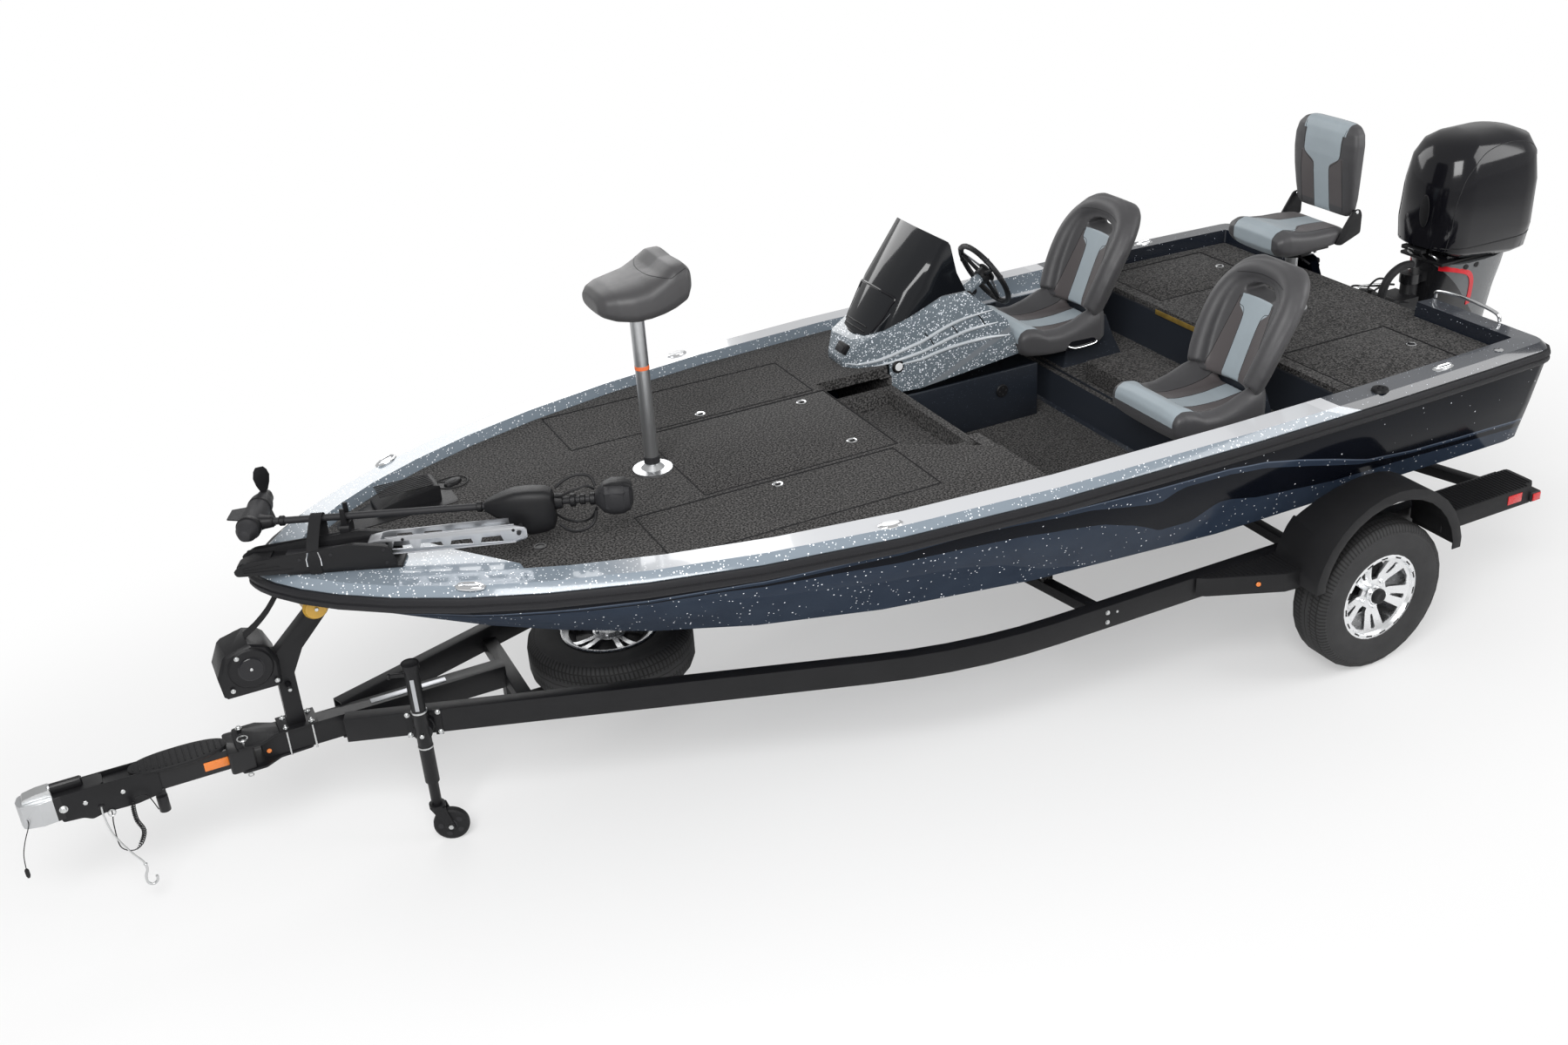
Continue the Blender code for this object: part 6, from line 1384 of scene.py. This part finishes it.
# blank plate on the spine of the tongue
trailer.box(silver, (5.02, 5.34), (-0.016, 0.018), (0.5908, 0.5922), 0.0005)
for side in (1, -1):
    # lamps and markers on the steps
    for x, near, far, z in (((0.12, 0.208), 1.175, 1.1795, (0.574, 0.62)),
            ((0.014, 0.062), 1.1895, 1.195, (0.562, 0.601)),
            ((0.0035, 0.009), 1.126, 1.184, (0.562, 0.601))):
        trailer.box(redLens, x, (side * near, side * far), z, 0.002)
    out, spot = Vector((0.186, 0.395 * side, 0)).normalized(), at(1.64, side * 1.1205, 0.56)
    trailer.rod(amberLens, spot, spot + out * 0.005, 0.011, steps=20, edge=0.001)
    trailer.rod(satinBlack, spot - out * 0.001, spot + out * 0.0025, 0.014, steps=20)
    trailer.rod(zinc, at(2.3, side * 0.9845, 0.56), at(2.3, side * 0.9875, 0.56), 0.006, steps=12)
    # bolts of the rails' crossmembers and the axle's spring bolts
    for x in trailerSet["railX"]:
        for dz in (-0.024, 0.024):
            bolt(trailer, at(x, side * 0.9852, 0.545 + dz), leftward * side, 0.008, 0.006)
    for x in (1.0, 1.06):
        for y in (0.935, 0.975):
            trailer.rod(zinc, at(x, side * y, 0.325), at(x, side * y, 0.44), 0.005, steps=10)
    # treads of the two steps beside each wheel
    treads = [(0.045 + k * 0.0208, 1.17, 0.6412) for k in range(28)]
    treads[:2] = [(x, 1.146, z) for x, far, z in treads[:2]]
    for x in (1.45 + k * 0.0216 for k in range(20)):
        treads.append((x, 1.162 - 0.186 * max(0, x - 1.525) / 0.395, 0.6032))
    for x, far, z in treads:
        if far > 1.002:
            trailer.tube(rubber, [at(x, side * 0.994, z), at(x, side * far, z)], trailerSet["treadR"], 6)
trailer.piece("trailer_fittings")

# swinging end of the tongue: step pad, marker, coupler's side plates, latch and eye
tongueSet = {"padX": 6.115, "padLong": 0.19, "padWide": 0.068, "padZ": 0.5965,
        "plate": [(6.2, 0.486), (6.3, 0.47), (6.42, 0.474), (6.47, 0.462), (6.5, 0.48), (6.575, 0.486),
        (6.59, 0.606), (6.2, 0.602)], "latch": [(6.585, 0.604), (6.7, 0.604), (6.69, 0.622), (6.64, 0.632),
        (6.59, 0.634)]}
tongueTrim = Form()
x, z = tongueSet["padX"], tongueSet["padZ"]
pad = [at(x + tongueSet["padLong"] * u, tongueSet["padWide"] * v, z) for u, v in hoop(48, 0.85)]
tongueTrim.loft(rubber, [[p + skyward * h + (at(x, 0, z) - p) * s for p in pad]
        for h, s in ((-0.01, 0.1), (0.0, 0.0), (0.0065, 0.0), (0.0085, 0.03))])
for k in range(15):
    far = 5.945 + k * 0.0243
    half = 0.0552 * (1 - ((far - x) / tongueSet["padLong"]) ** 2) ** 0.5
    if half > 0.01:
        tongueTrim.tube(satinBlack, [at(far, -half, 0.6052), at(far, half, 0.6052)], 0.0028, 6)
tongueTrim.box(amberLens, (5.925, 6.03), (0.0374, 0.0402), (0.516, 0.556), 0.001)
for x, y, r, high in ((6.34, 0.0425, 0.01, 0.008), (6.48, 0.0425, 0.01, 0.008), (6.56, 0.0495, 0.012, 0.009)):
    bolt(tongueTrim, at(x, y, 0.545), leftward, r, high)
tongueTrim.plate(zinc, roundedOutline(tongueSet["latch"], 0.006), -0.028, 0.028, "Y", 0.002)
for low, high in ((0.0422, 0.048), (-0.048, -0.0422)):
    tongueTrim.plate(trailerBlack, roundedOutline(tongueSet["plate"], 0.01), low, high, "Y", 0.001)
tongueTrim.tube(zinc, [at(6.4 + 0.014 * u, 0.05, 0.466 + 0.014 * v) for u, v in hoop(20)], 0.0032, 8, True)
tongueTrim.piece("tongue_trim", "tongue_end")

# jack: bands, knob, blank strip, pin; caster and its wheel
# bands: rise, height, radius and finish
jackSet = {"bands": ((0.862, 0.012, 0.0365, satinBlack), (0.64, 0.01, 0.0325, zinc),
        (0.47, 0.008, 0.032, zinc)), "hub": (-0.045, 0.076)}
jackTrim = Form()
for z, high, r, paint in jackSet["bands"]:
    jackTrim.lathe(paint, [(r - 0.003, 0.0), (r, 0.001), (r, high - 0.001), (r - 0.003, high)],
            legTop + skyward * z, skyward, 28)
knob = legTop + skyward * 0.82
jackTrim.rod(satinBlack, knob + railAlong * 0.086, knob + railAlong * 0.098, 0.013, steps=16, edge=0.002)
strip = [legTop + railOut * 0.029 + railAlong * s + skyward * z
        for s, z in ((-0.008, 0.66), (0.008, 0.66), (0.008, 0.81), (-0.008, 0.81))]
jackTrim.loft(silver, [strip, [p + railOut * 0.002 for p in strip]])
jackTrim.rod(zinc, clampAt + railOut * 0.01, clampAt + railOut * 0.046, 0.009, steps=16, edge=0.002)
jackTrim.piece("jack_trim", "jack")
casterTrim, rollTrim = Form(), Form()
hubAt = legTop + railAlong * jackSet["hub"][0] + skyward * jackSet["hub"][1]
for s in (1, -1):
    casterTrim.rod(zinc, hubAt + railOut * 0.0302 * s, hubAt + railOut * 0.036 * s, 0.011, steps=6)
    rollTrim.lathe(darkGrey, [(0.012, 0.0182), (0.024, 0.0182), (0.026, 0.019), (0.024, 0.0205),
            (0.012, 0.0205)], hubAt, railOut * s, 24, True)
    for c, h in hoop(5):
        out = railAlong * c + skyward * h
        over = railOut.cross(out)
        rollTrim.loft(darkGrey, [[hubAt + railOut * s * far + out * (0.044 + 0.011 * u) + over * 0.013 * v
                                  for u, v in hoop(14)] for far in (0.0181, 0.0187)])
casterTrim.piece("caster_trim", "jack_caster")
rollTrim.piece("jack_wheel_trim", "jack_wheel")
print("trailer")

# black cords in the gaps around the lids, painted shade in the gaps; cockpit: carpeted step, floor carpet,
# panel under the console
cockpitSet = {"lids": ("centre_lid", "rod_lid_port", "rod_lid_starboard", "rear_lid_port",
        "rear_lid_starboard"), "gap": 0.0035, "outlet": (2.01, 1.045)}
lidGapShade = Form()
for lid in cockpitSet["lids"]:
    low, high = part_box(lid)
    gap, top = cockpitSet["gap"], high[2] - 0.0005
    x0, x1, y0, y1 = low[0] - gap, high[0] + gap, low[1] - gap, high[1] + gap
    around = [Vector((x, y, top)) for x, y in ((x0, y0), (x1, y0), (x1, y1), (x0, y1), (x0, y0))]
    for a, b in zip(around, around[1:]):
        # each cord is painted shade: a black line where the gap between lid and deck lies in shade
        lidGapShade.tube(strapBlack, [a, b], 0.0034, 6)
lidGapShade.piece("lid_gap_shade")
cockpit = Form()
for paint, x0, x1, half, r, low, high, bevel in ((seatCarpet, 1.29, 1.6, 0.27, 0.02, 1.0465, 1.145, 0.01),
        (carpet, 1.69, 2.585, 0.905, 0.04, 0.8606, 0.868, 0.003)):
    outline = roundedOutline([(x0, -half), (x1, -half), (x1, half), (x0, half)], r)
    cockpit.plate(paint, outline, low, high, "Z", bevel)
cockpit.box(linerGel, (1.8, 2.6), (-0.398, -0.38), (0.868, 1.146), 0.006)
x, z = cockpitSet["outlet"]
cockpit.rod(satinBlack, at(x, -0.3805, z), at(x, -0.372, z), 0.034, 0.032, 32, 0.002)
for u, v in hoop(4):
    spans = [(middle - 0.004, middle + 0.004) for middle in (x + 0.018 * u, z + 0.018 * v)]
    cockpit.box(darkGrey, spans[0], (-0.3725, -0.37), spans[1], 0.001)
cockpit.piece("cockpit_trim")
print("cockpit")

# stage and light
stageSet = {"floor": (0.8, 0.8, 0.8), "fade": (2.6, 5.2), "sky": 0.5,
        # place, aim, size, energy
        "lamps": {"key": ((4.0, 5.5, 6.5), (0, 0, 0.8), 4.5, 620),
        "fill": ((-6.0, 4.0, 4.5), (-1, 0, 0.8), 4.0, 200),
        "rim": ((0.0, -6.0, 4.5), (0, 0, 1.0), 4.0, 140)}}
floorPaint = Paint("floorPaint", stageSet["floor"], 0.85)
ray = floorPaint.node("LightPath")
backing = floorPaint.node("Emission", inputs=[(1.0, 1.0, 1.0), 1.0])
fx, fy, fz = floorPaint.parts()
far = (((fx * 0.8) * (fx * 0.8) + (fy * 1.5) * (fy * 1.5)) ** 0.5).ramp(*stageSet["fade"])
lit = Wire(floorPaint, floorPaint.shader.outputs[0])
shown = floorPaint.node("MixShader", inputs=[ray * (far * 0.62 + 0.38), lit, backing])
floorPaint.put(floorPaint.tree.nodes["Material Output"].inputs["Surface"], shown)
floorMesh = bpy.data.meshes.new("floor")
floorMesh.from_pydata([(-60, -60, 0), (60, -60, 0), (60, 60, 0), (-60, 60, 0)], [], [(0, 1, 2, 3)])
floorMesh.materials.append(floorPaint.material)
floor = linked("floor", floorMesh)
floor.location.z = -0.0005

for lampName, (place, aim, size, energy) in stageSet["lamps"].items():
    lamp = linked(lampName, bpy.data.lights.new(lampName, "AREA"))
    lamp.data.size, lamp.data.energy, lamp.location = size, energy, place
    lamp.rotation_euler = (Vector(place) - Vector(aim)).to_track_quat("Z", "Y").to_euler()
sky = bpy.data.worlds.new("sky")
bpy.context.scene.world = sky
sky.use_nodes = True
light = sky.node_tree.nodes["Background"]
path = sky.node_tree.nodes.new("ShaderNodeLightPath")
blend = sky.node_tree.nodes.new("ShaderNodeMapRange")
sky.node_tree.links.new(path.outputs["Is Camera Ray"], blend.inputs["Value"])
blend.inputs["To Min"].default_value = stageSet["sky"]
blend.inputs["To Max"].default_value = 1.0
sky.node_tree.links.new(blend.outputs[0], light.inputs["Strength"])
light.inputs["Color"].default_value = (1, 1, 1, 1)
print("stage lit")
